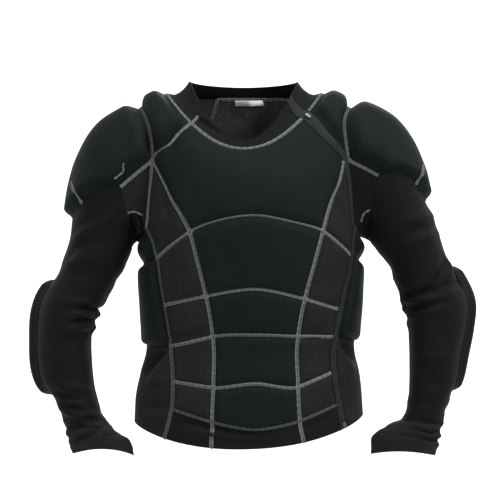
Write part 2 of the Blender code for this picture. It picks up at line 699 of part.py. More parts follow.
def wall(points, normals, cells, kind, inside=-CLOTH_INSIDE, outside=0.0, dome=None):
    """Closed mesh of a piece, as points and faces; dome has the cells of a pad made of two pieces."""
    edges = edges_of(cells)
    rim = edges_of(dome or cells)
    rim_numbers = {number for edge in rim for number in edge}
    used = sorted({number for cell in cells for number in cell})
    order = {number: k for k, number in enumerate(used)}
    moved = shrunk(points, normals, edges)
    outer, inner = [], []
    for number in used:
        base = moved.get(number, points[number])
        distance = 0.0 if number in rim_numbers else edge_distance(points[number], points, rim)
        if number in moved:
            distance *= GROOVE_DEPTH
        height = outside + pad_height(distance, kind)
        outer.append(base + normals[number] * height)
        inner.append(base + normals[number] * inside)
    count = len(used)
    faces = [[order[n] for n in cell] for cell in cells]
    faces += [[order[n] + count for n in reversed(cell)] for cell in cells]
    faces += [[order[b], order[a], order[a] + count, order[b] + count] for a, b in edges]
    return outer + inner, faces


# Objects
def material(name):
    """Material of one kind of cloth or fitting."""
    colour, roughness = COLOURS[name]
    made = bpy.data.materials.new(name)
    made.use_nodes = True
    shader = made.node_tree.nodes["Principled BSDF"]
    shader.inputs["Base Color"].default_value = (*colour, 1)
    shader.inputs["Roughness"].default_value = roughness
    shader.inputs["Metallic"].default_value = 1.0 if name == "metal" else 0.0
    return made


def add_object(name, points, faces, finish, collection):
    """Object from points in millimetres."""
    mesh = bpy.data.meshes.new(name)
    mesh.from_pydata([tuple(float(v) * MM for v in point) for point in points], [], faces)
    mesh.materials.append(finish)
    shape = bmesh.new()
    shape.from_mesh(mesh)
    bmesh.ops.recalc_face_normals(shape, faces=shape.faces)
    bmesh.ops.triangulate(shape, faces=shape.faces, quad_method="SHORT_EDGE")
    shape.to_mesh(mesh)
    shape.free()
    obj = bpy.data.objects.new(name, mesh)
    collection.objects.link(obj)
    return obj


KINDS = (("belly_panel", "centre", "knit"), ("chest_panel", "centre", "knit"), ("flank", "flank", "mesh"),
         ("side_chest", "flank", "mesh"), ("rib_pad_upper", "rib top", "knit"),
         ("rib_pad", "rib", "knit"), ("shoulder_pad", "shoulder", "knit"),
         ("cap_", "cap", "knit"), ("zip_placket", "placket", "mesh"),
         ("hem_band", "band", "mesh"), ("collar", "plain", "mesh"), ("underarm_gusset", "plain", "mesh"),
         ("cuff", "plain", "mesh"), ("side_hem", "plain", "mesh"), ("back_panel", "plain", "knit"),
         ("sleeve", "plain", "knit"))


def kind_of(name):
    """Padding and cloth of a piece."""
    return next((kind, cloth) for start, kind, cloth in KINDS if name.startswith(start))


def elbow_cells(numbers, angles, side):
    """Cells under an elbow pad, with its corners cut across."""
    first_row, last_row = (row_of_section(section) for section in ELBOW_SECTIONS)
    low, high = ELBOW_ANGLES
    columns = [i for i in range(len(angles) - 1) if low <= angles[i] < high]
    cells = []
    for row in range(first_row, last_row):
        for column in columns:
            cell = [numbers[row][column], numbers[row][column + 1],
                    numbers[row + 1][column + 1], numbers[row + 1][column]]
            top, bottom = row == first_row, row == last_row - 1
            left, right = column == columns[0], column == columns[-1]
            dropped = {(True, True): 0, (True, False): 1, (False, False): 2, (False, True): 3}
            if (top or bottom) and (left or right):
                cell.pop(dropped[top, left])
            if side < 0:
                cell.reverse()
            cells.append(cell)
    return cells


def neck_label(seams):
    """Blank label on the inside of the back, under the collar."""
    low, high = NECK_LABEL["across"]
    near, far = NECK_LABEL["drop"]
    behind = -CLOTH_INSIDE - SEAM_GAP
    spots = []
    for depth in (behind, behind - NECK_LABEL["thickness"]):
        for drop in (near, far):
            for across in (low, (low + high) / 2, high):
                angle = angle_across(NECK_LEVEL, across, at_back=True)
                crest = np.array(ring_point(TORSO_ROWS, angle, float(NECK_LEVEL)))
                below = np.array(ring_point(TORSO_ROWS, angle, NECK_LEVEL - 0.5))
                down = (below - crest) / np.linalg.norm(below - crest)
                out = np.cross(np.array((1.0, 0.0, 0.0)), down)
                out /= np.linalg.norm(out)
                out *= 1 if out[1] > 0 else -1
                spots.append(crest + down * drop + out * (depth - NECK_LABEL["clearance"]))
    faces = [(0, 1, 4, 3), (1, 2, 5, 4), (7, 6, 9, 10), (8, 7, 10, 11), (0, 6, 7, 1), (1, 7, 8, 2),
             (2, 8, 11, 5), (5, 11, 10, 4), (4, 10, 9, 3), (3, 9, 6, 0)]
    return spots, faces


def add_slider(seams, finish, collection):
    """Zip slider at the top end of the placket, lying on it."""
    start = torso_point(straight(seams["yoke left"][0], seams["yoke pad left"][0], STRIP_STEPS)[1])
    second = torso_point(straight(seams["yoke left"][1], seams["yoke pad left"][1], STRIP_STEPS)[1])
    along_zip = np.array(second) - np.array(start)
    along_zip /= np.linalg.norm(along_zip)
    side = np.array(torso_point(seams["yoke pad left"][0])) - np.array(torso_point(seams["yoke left"][0]))
    out = np.cross(along_zip, side)
    out /= np.linalg.norm(out)
    side = np.cross(out, along_zip)
    width, thickness, length = SLIDER["size"]
    lift = PROUD["placket"] + SLIDER["clearance"] + thickness / 2
    centre = np.array(start) + along_zip * (length / 2 + SLIDER["below collar"]) + out * lift
    shape = bmesh.new()
    bmesh.ops.create_cube(shape, size=1)
    for corner in shape.verts:
        share = corner.co.copy()
        place = centre + side * share.x * width + out * share.y * thickness + along_zip * share.z * length
        corner.co = [float(v) for v in place]
    shape.normal_update()
    bmesh.ops.bevel(shape, geom=list(shape.edges), offset=SLIDER["bevel"], segments=2, affect="EDGES")
    for corner in shape.verts:
        corner.co *= MM
    mesh = bpy.data.meshes.new("zip_slider")
    shape.to_mesh(mesh)
    shape.free()
    mesh.materials.append(finish)
    collection.objects.link(bpy.data.objects.new("zip_slider", mesh))


def main():
    """Build every piece."""
    for old in list(bpy.data.objects):
        bpy.data.objects.remove(old, do_unlink=True)
    collection = bpy.data.collections.new("padded_compression_shirt")
    bpy.context.scene.collection.children.link(collection)
    finishes = {name: material(name) for name in COLOURS}

    net = Net()
    seams = add_torso(net)
    sleeves = {side: add_sleeve(net, side, seams) for side in (-1, 1)}
    points = np.array(net.points)
    normals = net.normals()
    names = list(dict.fromkeys(name for name, _ in net.cells))
    for name in names:
        kind, cloth = kind_of(name)
        cells = [cell for owner, cell in net.cells if owner == name]
        dome = None
        if kind == "cap":
            side = name.split("_")[-1]
            dome = [cell for owner, cell in net.cells if owner in ("cap_pad_" + side, "cap_tail_" + side)]
        shape, faces = wall(points, normals, cells, kind, dome=dome)
        add_object(name, shape, faces, finishes[cloth], collection)
    for side, (numbers, angles) in sleeves.items():
        base = CLOTH_OUTSIDE + ELBOW_CLEARANCE
        cells = elbow_cells(numbers, angles, side)
        shape, faces = wall(points, normals, cells, "elbow", inside=base, outside=base)
        add_object("elbow_pad_" + SIDE_NAMES[side], shape, faces, finishes["knit"], collection)
    spots, faces = neck_label(seams)
    add_object("neck_label", spots, faces, finishes["label"], collection)
    add_slider(seams, finishes["metal"], collection)


main()
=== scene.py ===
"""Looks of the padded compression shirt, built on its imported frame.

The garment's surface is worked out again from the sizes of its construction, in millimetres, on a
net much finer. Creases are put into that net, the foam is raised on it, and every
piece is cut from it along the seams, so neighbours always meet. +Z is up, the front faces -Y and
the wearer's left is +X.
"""

import math

import bmesh
import bpy
import numpy as np
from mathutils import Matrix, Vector, kdtree, noise


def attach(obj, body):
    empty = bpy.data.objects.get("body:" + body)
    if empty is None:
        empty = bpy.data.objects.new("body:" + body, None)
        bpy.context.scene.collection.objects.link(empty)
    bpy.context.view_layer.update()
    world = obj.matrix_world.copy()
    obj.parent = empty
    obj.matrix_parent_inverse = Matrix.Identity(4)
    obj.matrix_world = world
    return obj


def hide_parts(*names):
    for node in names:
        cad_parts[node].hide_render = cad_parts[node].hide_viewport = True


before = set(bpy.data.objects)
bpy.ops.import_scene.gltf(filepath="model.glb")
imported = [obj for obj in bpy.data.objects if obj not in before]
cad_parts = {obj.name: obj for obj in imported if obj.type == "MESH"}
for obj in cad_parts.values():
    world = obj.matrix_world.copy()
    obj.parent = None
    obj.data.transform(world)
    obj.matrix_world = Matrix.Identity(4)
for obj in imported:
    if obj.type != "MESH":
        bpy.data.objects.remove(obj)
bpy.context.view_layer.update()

MM = 0.001

# Cloth and seams
CLOTH_INSIDE = 1.4
CLOTH_OUTSIDE = 0.4
SEAM_GAP = 0.3
PLACKET_WIDTH = 14.0
# Least sharpness of a piece's corner, so that shrinking can't throw it far
CORNER_SPREAD = 0.12

# Padding: how far each kind stands proud, how wide its slope is and how wide its flat edge
PADS = {
    "centre":   (6.5, 11.0, 3.9),
    "flank":    (5.0, 10.0, 3.9),
    "rib":      (11.0, 12.0, 3.4),
    "rib top":  (11.0, 23.0, 3.0),
    "shoulder": (12.0, 18.0, 3.6),
    "cap":      (18.0, 25.0, 3.4),
    "elbow":    (15.5, 20.0, 0.0),
    "placket":  (1.6, 3.0, 0.0),
    "band":     (1.2, 6.0, 3.9),
    "plain":    (CLOTH_OUTSIDE, 10.0, 0.0),
}
GENTLE = ("cap", "shoulder", "rib top", "elbow")
# The lower end of a cap rises this much faster than its other edges
LOWER_STEEPNESS = 2.0

# Torso sections from hem to neck seam. Columns: height at the side, front and back, half width,
# depth of the front and back, squareness, shift to the wearer's left, extra height on that side
TORSO = {
    "hem":      (-575, -617, -600, 203, 127, 112, 2.20, -4, 6),
    "hip":      (-535, -560, -552, 200, 125, 110, 2.20, -4, 3),
    "belly":    (-495, -505, -503, 194, 120, 106, 2.20, -2, 0),
    "waist":    (-450, -450, -450, 184, 114, 102, 2.20, -1, 0),
    "ribs":     (-390, -385, -390, 187, 118, 108, 2.25, 0, 0),
    "bust":     (-325, -318, -325, 190, 123, 114, 2.25, 0, 0),
    "chest":    (-262, -250, -260, 191, 126, 118, 2.25, 0, 0),
    "armpit":   (-205, -195, -200, 190, 124, 120, 2.20, 0, 0),
    "blade":    (-130, -158, -140, 189, 116, 117, 2.15, 0, 0),
    "cap":      (-68, -134, -85, 189, 106, 107, 2.10, -5, 0),
    "tip":      (-28, -119, -44, 185, 97, 94, 2.05, -11, 0),
    "shoulder": (-9, -110, -18, 166, 90, 84, 2.00, -11, 0),
    "neck":     (0, -104, -3, 138, 84, 77, 2.00, -12, 0),
}
COLLAR = {
    "seam":  (0, -104, -3, 138, 84, 77, 2.00, -12, 0),
    "roll":  (-1, -100, 3, 121, 80, 74, 2.00, -13, 0),
    "stand": (9, -94, 11, 106, 76, 71, 2.00, -13, 0),
    "edge":  (22, -88, 18, 96, 73, 69, 2.00, -13, 0),
}
TORSO_ROWS = list(TORSO.values())
COLLAR_ROWS = list(COLLAR.values())
NECK_LEVEL = len(TORSO_ROWS) - 1

# Upright seams of the front where the rows cross them: (across, height) seen from the front
ROW_NAMES = ("hem", "base arc", "lower arc", "middle arc", "upper arc", "chest arc")
RIGHT_SIDE_SEAM = ((-149, None), (-136, -551), (-134, -504), (-138, -444), (-150, -373), (-163, -292))
RIGHT_PRINCESS = ((-68, None), (-66, -571), (-64, -513), (-65, -426), (-77, -356), (-104, -247))
LEFT_PRINCESS = ((90, None), (83, -570), (80, -513), (80, -426), (92, -361), (123, -246))
LEFT_SIDE_SEAM = ((154, None), (147, -545), (138, -490), (141, -428), (150, -380), (172, -287))
RIGHT_SIDE_TOP = (-171, -262)
RIGHT_PRINCESS_TOP = ((-125, -209), (-148, -166))
LEFT_PRINCESS_TOP = ((132, -213), (141, -187), (153, -157))
# Crowns of the rows between the two princess seams
ROW_CROWNS = {
    "base arc": ((8, -583),),
    "lower arc": ((8, -506),),
    "middle arc": ((8, -423),),
    "upper arc": ((8, -344),),
    "chest arc": ((-53, -227), (8, -219), (66, -229)),
}
# Hidden upright seam behind each rib pad: (turn behind the side plane, height)
RIB_BACK_SEAM = ((27, None), (28, -548), (28, -500), (28, -455), (28, -385), (28, -318))

# Armhole. Columns: angle round the sleeve, from 0 at the top over the front to 180 at the bottom,
# turn from the side plane to the front, height
ARMHOLE = (
    (0, 0, -26), (40, 12, -46), (62, 16.5, -82), (80, 17.5, -120), (105, 16, -165), (127, 15, -205),
    (150, 13, -238), (180, -4, -250), (210, -24, -243), (232, -26, -205), (256, -25, -165),
    (280, -22, -135), (300, -19, -90), (322, -12, -50),
)
APEX, FOOT_FRONT, FOOT_BACK, BACK_APEX = 80, 150, 210, 280

# Yoke and neck places, seen from the front or the back: (across, height)
YOKE_BEND = {-1: (-140, -90), 1: (126, -86)}
YOKE_NECK_ACROSS = {-1: -104, 1: 88}
PLACKET_TOP_ACROSS = 101
BACK_YOKE = {-1: ((-74, -40), (-112, -92)), 1: ((78, -40), (116, -92))}
BACK_YOKE_NECK_ACROSS = {-1: -62, 1: 67}
# The placket's upper edge runs this far across and above the yoke's bend
PLACKET_RISE = (9, 12)

# Sleeve sections from shoulder to cuff. Columns: outer point across and up, inner point across and
# up, half depth, distance behind the side plane, arch of the front and back, pinch of the inner end
SLEEVE = {
    -1: (
        (-223, -39, -210, -268, 62, 6, 0, 0), (-263, -66, -216, -284, 66, 5, 0, 0),
        (-293, -113, -223, -300, 66, 4, 0, 0), (-309, -168, -230, -317, 64, 3, 0, 0),
        (-316, -219, -241, -333, 61, 2, 0, 0), (-322, -260, -251, -352, 58, 0, 0, 0),
        (-333, -296, -260, -370, 56, -3, 0, 0), (-342, -324, -271, -381, 55, -6, 0, 0),
        (-366, -358, -274, -400, 55, -10, 0, 0), (-376, -394, -281, -421, 54, -14, 0, 0),
        (-377, -438, -283, -446, 52, -18, 0, 0), (-375, -480, -281, -480, 50, -23, 0, 0),
        (-366, -511, -277, -515, 46, -28, 0, 0), (-345, -536, -271, -538, 42, -33, 0, 0),
        (-334, -562, -263, -563, 38, -37, 0, 0), (-326, -586, -252, -585, 34, -40, 0, 0),
        (-321, -604, -231, -601, 33, -42, 2, 0.15), (-317, -620, -211, -614, 32, -44, 6, 0.35),
        (-312, -634, -205, -637, 30, -46, 12, 0.6),
    ),
    1: (
        (211, -34, 210, -260, 62, 6, 0, 0), (245, -54, 219, -269, 66, 5, 0, 0),
        (270, -87, 228, -282, 66, 4, 0, 0), (293, -136, 237, -292, 64, 3, 0, 0),
        (309, -189, 245, -306, 61, 2, 0, 0), (326, -226, 253, -323, 58, 0, 0, 0),
        (337, -262, 260, -341, 56, -3, 0, 0), (349, -297, 265, -363, 55, -6, 0, 0),
        (370, -335, 273, -386, 55, -10, 0, 0), (383, -372, 278, -405, 54, -14, 0, 0),
        (379, -416, 280, -434, 52, -18, 0, 0), (370, -460, 281, -467, 50, -23, 0, 0),
        (362, -501, 280, -501, 46, -28, 0, 0), (350, -533, 278, -533, 42, -33, 0, 0),
        (341, -559, 274, -558, 38, -37, 0, 0), (335, -582, 266, -573, 34, -40, 0, 0),
        (331, -598, 237, -587, 33, -42, 0, 0.15), (327, -618, 213, -604, 32, -44, 4, 0.35),
        (322, -637, 210, -635, 30, -46, 8, 0.6),
    ),
}
# How far down the sleeve the cap and the gusset reach, by angle round the sleeve
CAP_REACH = ((0, 5.1), (20, 4.85), (40, 4.3), (60, 3.2), (80, 1.45), (110, 1.3), (180, 1.5),
             (250, 2.0), (280, 3.3), (300, 4.2), (320, 4.7), (340, 5.0), (360, 5.1))
# The seam between cap and gusset turns down by this angle from the armhole, and back by a section
SEAM_TURN = {-1: 12, 1: 7}
TURN_FROM, TURN_END = 2, 5
STRAIGHT_FROM = 8
CUFF_SECTION = 16
LAST_SECTION = 19
ELBOW_SECTIONS = (8, 14)
ELBOW_ANGLES = (260, 380)
ELBOW_CLEARANCE = 0.3


# Cells along the seams
def even(count):
    """Equal steps from 0 to 1."""
    return tuple(i / count for i in range(count + 1))


PANEL_STEPS = even(20)
BAND_STEPS = even(11)
RIB_TOP_STEPS = even(18)
EDGE_STEPS = even(18)
PRINCESS_TOP_STEPS = even(36)
NECKLINE_STEPS = even(26)
CENTRE_STEPS = even(66)
STRIP_STEPS = even(4)
OVER_STEPS = even(34)
FOOT_STEPS = even(20)
COLLAR_STEPS = even(16)
CAP_STEPS = even(50)
BELOW_CAP_STEPS = even(28)[1:-1]
SECTION_STEPS = 8
SIDE_PULL = 2.5
TAIL_ROW, TAIL_FRONT = 38, 400
ROW_STEPS = (BAND_STEPS, PANEL_STEPS, PANEL_STEPS, PANEL_STEPS, PANEL_STEPS)
# Runs of the armhole: first angle, last angle, steps
ARMHOLE_RUNS = {
    "front": (FOOT_FRONT, APEX, EDGE_STEPS),
    "foot": (FOOT_BACK, FOOT_FRONT, FOOT_STEPS),
    "back": (FOOT_BACK, BACK_APEX, EDGE_STEPS),
    "over": (BACK_APEX, 360 + APEX, OVER_STEPS),
}


# Smooth interpolation
def catmull(before, start, end, after, t):
    """Value between start and end on a smooth curve through four values."""
    return 0.5 * (2 * start + (end - before) * t + (2 * before - 5 * start + 4 * end - after) * t * t
                  + (3 * start - before - 3 * end + after) * t ** 3)


def row_at(rows, level):
    """The table's row at a fractional row number."""
    last = len(rows) - 1
    index = min(max(int(level), 0), last - 1)
    t = min(max(level - index, 0.0), 1.0)
    start = rows[index]
    end = rows[index + 1]
    before = rows[index - 1] if index > 0 else [2 * a - b for a, b in zip(start, end)]
    after = rows[index + 2] if index + 2 <= last else [2 * b - a for a, b in zip(start, end)]
    return [catmull(p, q, r, s, t) for p, q, r, s in zip(before, start, end, after)]


def looped_at(table, angle):
    """A closed table's values at an angle; its first column is the angle."""
    count = len(table)
    angle %= 360
    index = max(i for i in range(count) if table[i][0] <= angle)
    following = table[(index + 1) % count][0] or 360
    t = (angle - table[index][0]) / (following - table[index][0])
    picked = [table[(index + k) % count][1:] for k in (-1, 0, 1, 2)]
    return [catmull(p, q, r, s, t) for p, q, r, s in zip(*picked)]


def straight_at(table, angle):
    """Straight-line reading of a two-column table."""
    return float(np.interp(angle % 360, [row[0] for row in table], [row[1] for row in table]))


# Torso and collar surface: a place is (angle, level); angle 0 is the front, 90 the wearer's left
def ring_point(rows, angle, level):
    """Point of a ringed surface, in millimetres."""
    side, front, back, width, front_depth, back_depth, power, shift, lean = row_at(rows, level)
    sine = math.sin(math.radians(angle))
    cosine = math.cos(math.radians(angle))
    depth = front_depth if cosine >= 0 else back_depth
    middle = front if cosine >= 0 else back
    radius = ((abs(sine) / width) ** power + (abs(cosine) / depth) ** power) ** (-1 / power)
    share = (radius * cosine / depth) ** 2
    across = radius * sine
    return (shift + across, -radius * cosine, side + (middle - side) * share + lean * across / width)


def torso_point(place):
    """Point of the torso at a place."""
    return ring_point(TORSO_ROWS, place[0], place[1])


def bisect(low, high, test, rounds=26):
    """Halve the range until test changes from True to False."""
    for _ in range(rounds):
        middle = (low + high) / 2
        if test(middle):
            low = middle
        else:
            high = middle
    return (low + high) / 2


def place_by_angle(angle, height):
    """Place at an angle round the body and a height."""
    level = bisect(0, NECK_LEVEL, lambda lv: ring_point(TORSO_ROWS, angle, lv)[2] < height)
    return (angle, level)


def angle_across(level, across, at_back=False):
    """Angle at which the ring of a level lies at a distance across."""
    if at_back:
        return bisect(90, 270, lambda a: ring_point(TORSO_ROWS, a, level)[0] > across)
    return bisect(-90, 90, lambda a: ring_point(TORSO_ROWS, a, level)[0] < across)


def place_seen(across, height, at_back=False):
    """Place seen at (across, height) from straight ahead, or from straight behind."""
    def too_low(level):
        return ring_point(TORSO_ROWS, angle_across(level, across, at_back), level)[2] < height
    level = 0.0 if height is None else bisect(0, NECK_LEVEL, too_low)
    return (angle_across(level, across, at_back), level)


def sideways(place, distance):
    """Place moved round the body by a distance."""
    here = np.array(torso_point(place))
    there = np.array(torso_point((place[0] + 1, place[1])))
    return (place[0] + distance / np.linalg.norm(there - here), place[1])


def armhole_place(side, angle):
    """Place on the armhole at an angle round the sleeve."""
    turn, height = looped_at(ARMHOLE, angle)
    return place_by_angle(side * (90 - turn), height)


# Seams
def along(knots, steps):
    """Places at shares of the length of a smooth seam through its knots."""
    dense = []
    for index in range(len(knots) - 1):
        for step in range(10):
            dense.append(tuple(row_at(knots, index + step / 10)))
    dense.append(tuple(knots[-1]))
    points = np.array([torso_point(place) for place in dense])
    lengths = np.concatenate(([0], np.cumsum(np.linalg.norm(np.diff(points, axis=0), axis=1))))
    wanted = np.array(steps) * lengths[-1]
    angles = np.interp(wanted, lengths, [p[0] for p in dense])
    levels = np.interp(wanted, lengths, [p[1] for p in dense])
    return list(zip(angles.tolist(), levels.tolist()))


def joined(*runs):
    """Runs of places end to end, each sharing its first place with the one before."""
    places = list(runs[0])
    for run in runs[1:]:
        places.extend(run[1:])
    return places


def upright(crossings, bands, top_run):
    """An upright seam: a run between each pair of crossings, then its top run."""
    runs = []
    for index, steps in enumerate(bands):
        level = [tuple(row_at(crossings, index + step)) for step in (0, 0.25, 0.5, 0.75, 1)]
        runs.append(along(level, steps))
    return joined(*runs, top_run)


def shares(run):
    """Share of the length reached at each place of a run."""
    points = np.array([torso_point(place) for place in run])
    lengths = np.concatenate(([0], np.cumsum(np.linalg.norm(np.diff(points, axis=0), axis=1))))
    return lengths / max(lengths[-1], 1e-9)


def patch(bottom, top, left, right):
    """Grid of places between four runs that meet at their corners."""
    bottom, top, left, right = (np.array(run) for run in (bottom, top, left, right))
    low, high = shares(bottom), shares(top)
    if np.ptp(top, axis=0).max() < 1e-9:
        high = low
    up_left, up_right = shares(left), shares(right)
    grid = []
    for j in range(len(left)):
        row = []
        for i in range(len(bottom)):
            t = (up_left[j] + up_right[j]) / 2
            s = low[i] * (1 - t) + high[i] * t
            t = up_left[j] * (1 - s) + up_right[j] * s
            ruled = (1 - t) * bottom[i] + t * top[i]
            bow_left = left[j] - (1 - t) * left[0] - t * left[-1]
            bow_right = right[j] - (1 - t) * right[0] - t * right[-1]
            row.append(tuple(ruled + bow_left * (1 - s) ** SIDE_PULL + bow_right * s ** SIDE_PULL))
        grid.append(row)
    for j in range(len(left)):
        grid[j][0] = tuple(left[j])
        grid[j][-1] = tuple(right[j])
    grid[0] = [tuple(place) for place in bottom]
    grid[-1] = [tuple(place) for place in top]
    return grid


# The net: welded points, and cells named by the piece they belong to
class Net:
    """Welded points and named cells, each cell with its place on the flat cloth in millimetres."""

    def __init__(self):
        self.points = []
        self.numbers = {}
        self.cells = []

    def number(self, point):
        """Number of a point, new or already there."""
        key = tuple(int(round(value * 50)) for value in point)
        for shift in ((0, 0, 0), (1, 0, 0), (-1, 0, 0), (0, 1, 0), (0, -1, 0), (0, 0, 1), (0, 0, -1)):
            near = tuple(a + b for a, b in zip(key, shift))
            if near in self.numbers:
                return self.numbers[near]
        self.numbers[key] = len(self.points)
        self.points.append(point)
        return self.numbers[key]

    def add_grid(self, grid, name_of, flip=False):
        """Add a grid of points; name_of(row, column) names each cell."""
        places = np.array(grid, dtype=float)
        wide = np.linalg.norm(np.diff(places, axis=1), axis=2).mean(axis=0)
        tall = np.linalg.norm(np.diff(places, axis=0), axis=2).mean(axis=1)
        flat_u = np.concatenate(([0.0], np.cumsum(wide)))
        flat_v = np.concatenate(([0.0], np.cumsum(tall)))
        numbers = [[self.number(point) for point in row] for row in grid]
        for j in range(len(numbers) - 1):
            for i in range(len(numbers[0]) - 1):
                corners = [(j, i), (j, i + 1), (j + 1, i + 1), (j + 1, i)]
                if flip:
                    corners.reverse()
                ring = [(numbers[a][b], flat_u[b], flat_v[a]) for a, b in corners]
                ring = [c for k, c in enumerate(ring) if c[0] != ring[k - 1][0]]
                if len(ring) > 2:
                    name = name_of(j, i)
                    self.cells.append((name, [c[0] for c in ring], [c[1:] for c in ring]))
        return numbers


def net_normals(points, cells):
    """Outward direction at each point of the whole net."""
    total = np.zeros_like(points)
    for size in (3, 4):
        rings = np.array([ring for _, ring, _ in cells if len(ring) == size])
        if not len(rings):
            continue
        corners = points[rings]
        across = np.cross(corners[:, 2] - corners[:, 0], corners[:, -1] - corners[:, 1])
        for k in range(size):
            np.add.at(total, rings[:, k], across)
    return total / np.linalg.norm(total, axis=1)[:, None]


def torso_seams():
    """All seams of the torso as runs of places."""
    seams = {}
    apex = {side: armhole_place(side, APEX) for side in (-1, 1)}
    placket_apex = sideways(apex[1], -PLACKET_WIDTH)
    for side in (-1, 1):
        for run, (start, end, steps) in ARMHOLE_RUNS.items():
            seams["armhole " + run, side] = [armhole_place(side, start + (end - start) * step)
                                             for step in steps]

    right_side = [place_seen(*spot) for spot in RIGHT_SIDE_SEAM]
    seams["side right"] = upright(right_side, ROW_STEPS, along(
        [right_side[-1], place_seen(*RIGHT_SIDE_TOP), armhole_place(-1, FOOT_FRONT)], RIB_TOP_STEPS))
    right_princess = [place_seen(*spot) for spot in RIGHT_PRINCESS]
    seams["princess right"] = upright(right_princess, ROW_STEPS, along(
        [right_princess[-1], *[place_seen(*spot) for spot in RIGHT_PRINCESS_TOP], apex[-1]],
        PRINCESS_TOP_STEPS))
    left_princess = [place_seen(*spot) for spot in LEFT_PRINCESS]
    seams["princess left"] = upright(left_princess, ROW_STEPS, along(
        [left_princess[-1], *[place_seen(*spot) for spot in LEFT_PRINCESS_TOP], placket_apex],
        PRINCESS_TOP_STEPS))
    left_side = [place_seen(*spot) for spot in LEFT_SIDE_SEAM]
    placket_foot = sideways(armhole_place(1, FOOT_FRONT), -PLACKET_WIDTH)
    seams["placket front"] = upright(left_side, ROW_STEPS, along(
        [left_side[-1], placket_foot], RIB_TOP_STEPS))
    placket_side = [sideways(place, PLACKET_WIDTH) for place in left_side]
    seams["placket back"] = upright(placket_side, ROW_STEPS, along(
        [placket_side[-1], armhole_place(1, FOOT_FRONT)], RIB_TOP_STEPS))
    seams["placket edge"] = [sideways(place, -PLACKET_WIDTH) for place in seams["armhole front", 1]]
    for side in (-1, 1):
        turns = [(side * (90 + turn), height) for turn, height in RIB_BACK_SEAM]
        hidden = [place_by_angle(*spot) if spot[1] else (spot[0], 0.0) for spot in turns]
        seams["rib back", side] = upright(hidden, ROW_STEPS, along(
            [hidden[-1], armhole_place(side, FOOT_BACK)], RIB_TOP_STEPS))

    # Yoke seams and the neck
    def neck(across, at_back=False):
        return (angle_across(NECK_LEVEL, across, at_back), float(NECK_LEVEL))

    seams["yoke right"] = along([apex[-1], place_seen(*YOKE_BEND[-1]), neck(YOKE_NECK_ACROSS[-1])],
                                PANEL_STEPS)
    bend = place_seen(*YOKE_BEND[1])
    seams["yoke left"] = along([neck(YOKE_NECK_ACROSS[1]), bend, placket_apex], PANEL_STEPS)
    upper_bend = place_seen(YOKE_BEND[1][0] + PLACKET_RISE[0], YOKE_BEND[1][1] + PLACKET_RISE[1])
    seams["yoke pad left"] = along([neck(PLACKET_TOP_ACROSS), upper_bend, apex[1]], PANEL_STEPS)
    for side in (-1, 1):
        start = armhole_place(side, BACK_APEX)
        start = (start[0] % 360, start[1])
        middle = [place_seen(*spot, at_back=True) for spot in reversed(BACK_YOKE[side])]
        end = neck(BACK_YOKE_NECK_ACROSS[side], at_back=True)
        seams["back yoke", side] = along([start, *middle, end], PANEL_STEPS)
    return seams


def turned(run, degrees):
    """A run with its angles moved by whole turns."""
    return [(angle + degrees, level) for angle, level in run]


def straight(start, end, steps):
    """Places on the straight line between two places."""
    return [tuple(a + (b - a) * step for a, b in zip(start, end)) for step in steps]


ROW_OFFSETS = [sum(len(steps) - 1 for steps in ROW_STEPS[:row]) for row in range(len(ROW_STEPS) + 1)]
RIB_TOP = ROW_OFFSETS[-1] + len(RIB_TOP_STEPS) - 1
FRONT_PANELS = ("hem_band_centre", "belly_panel_base", "belly_panel_lower", "belly_panel_middle",
                "belly_panel_upper")
FLANK_PANELS = ("hem_band_{}", "flank_base_{}", "flank_lower_{}", "flank_middle_{}", "flank_upper_{}")
SIDE_NAMES = {-1: "right", 1: "left"}


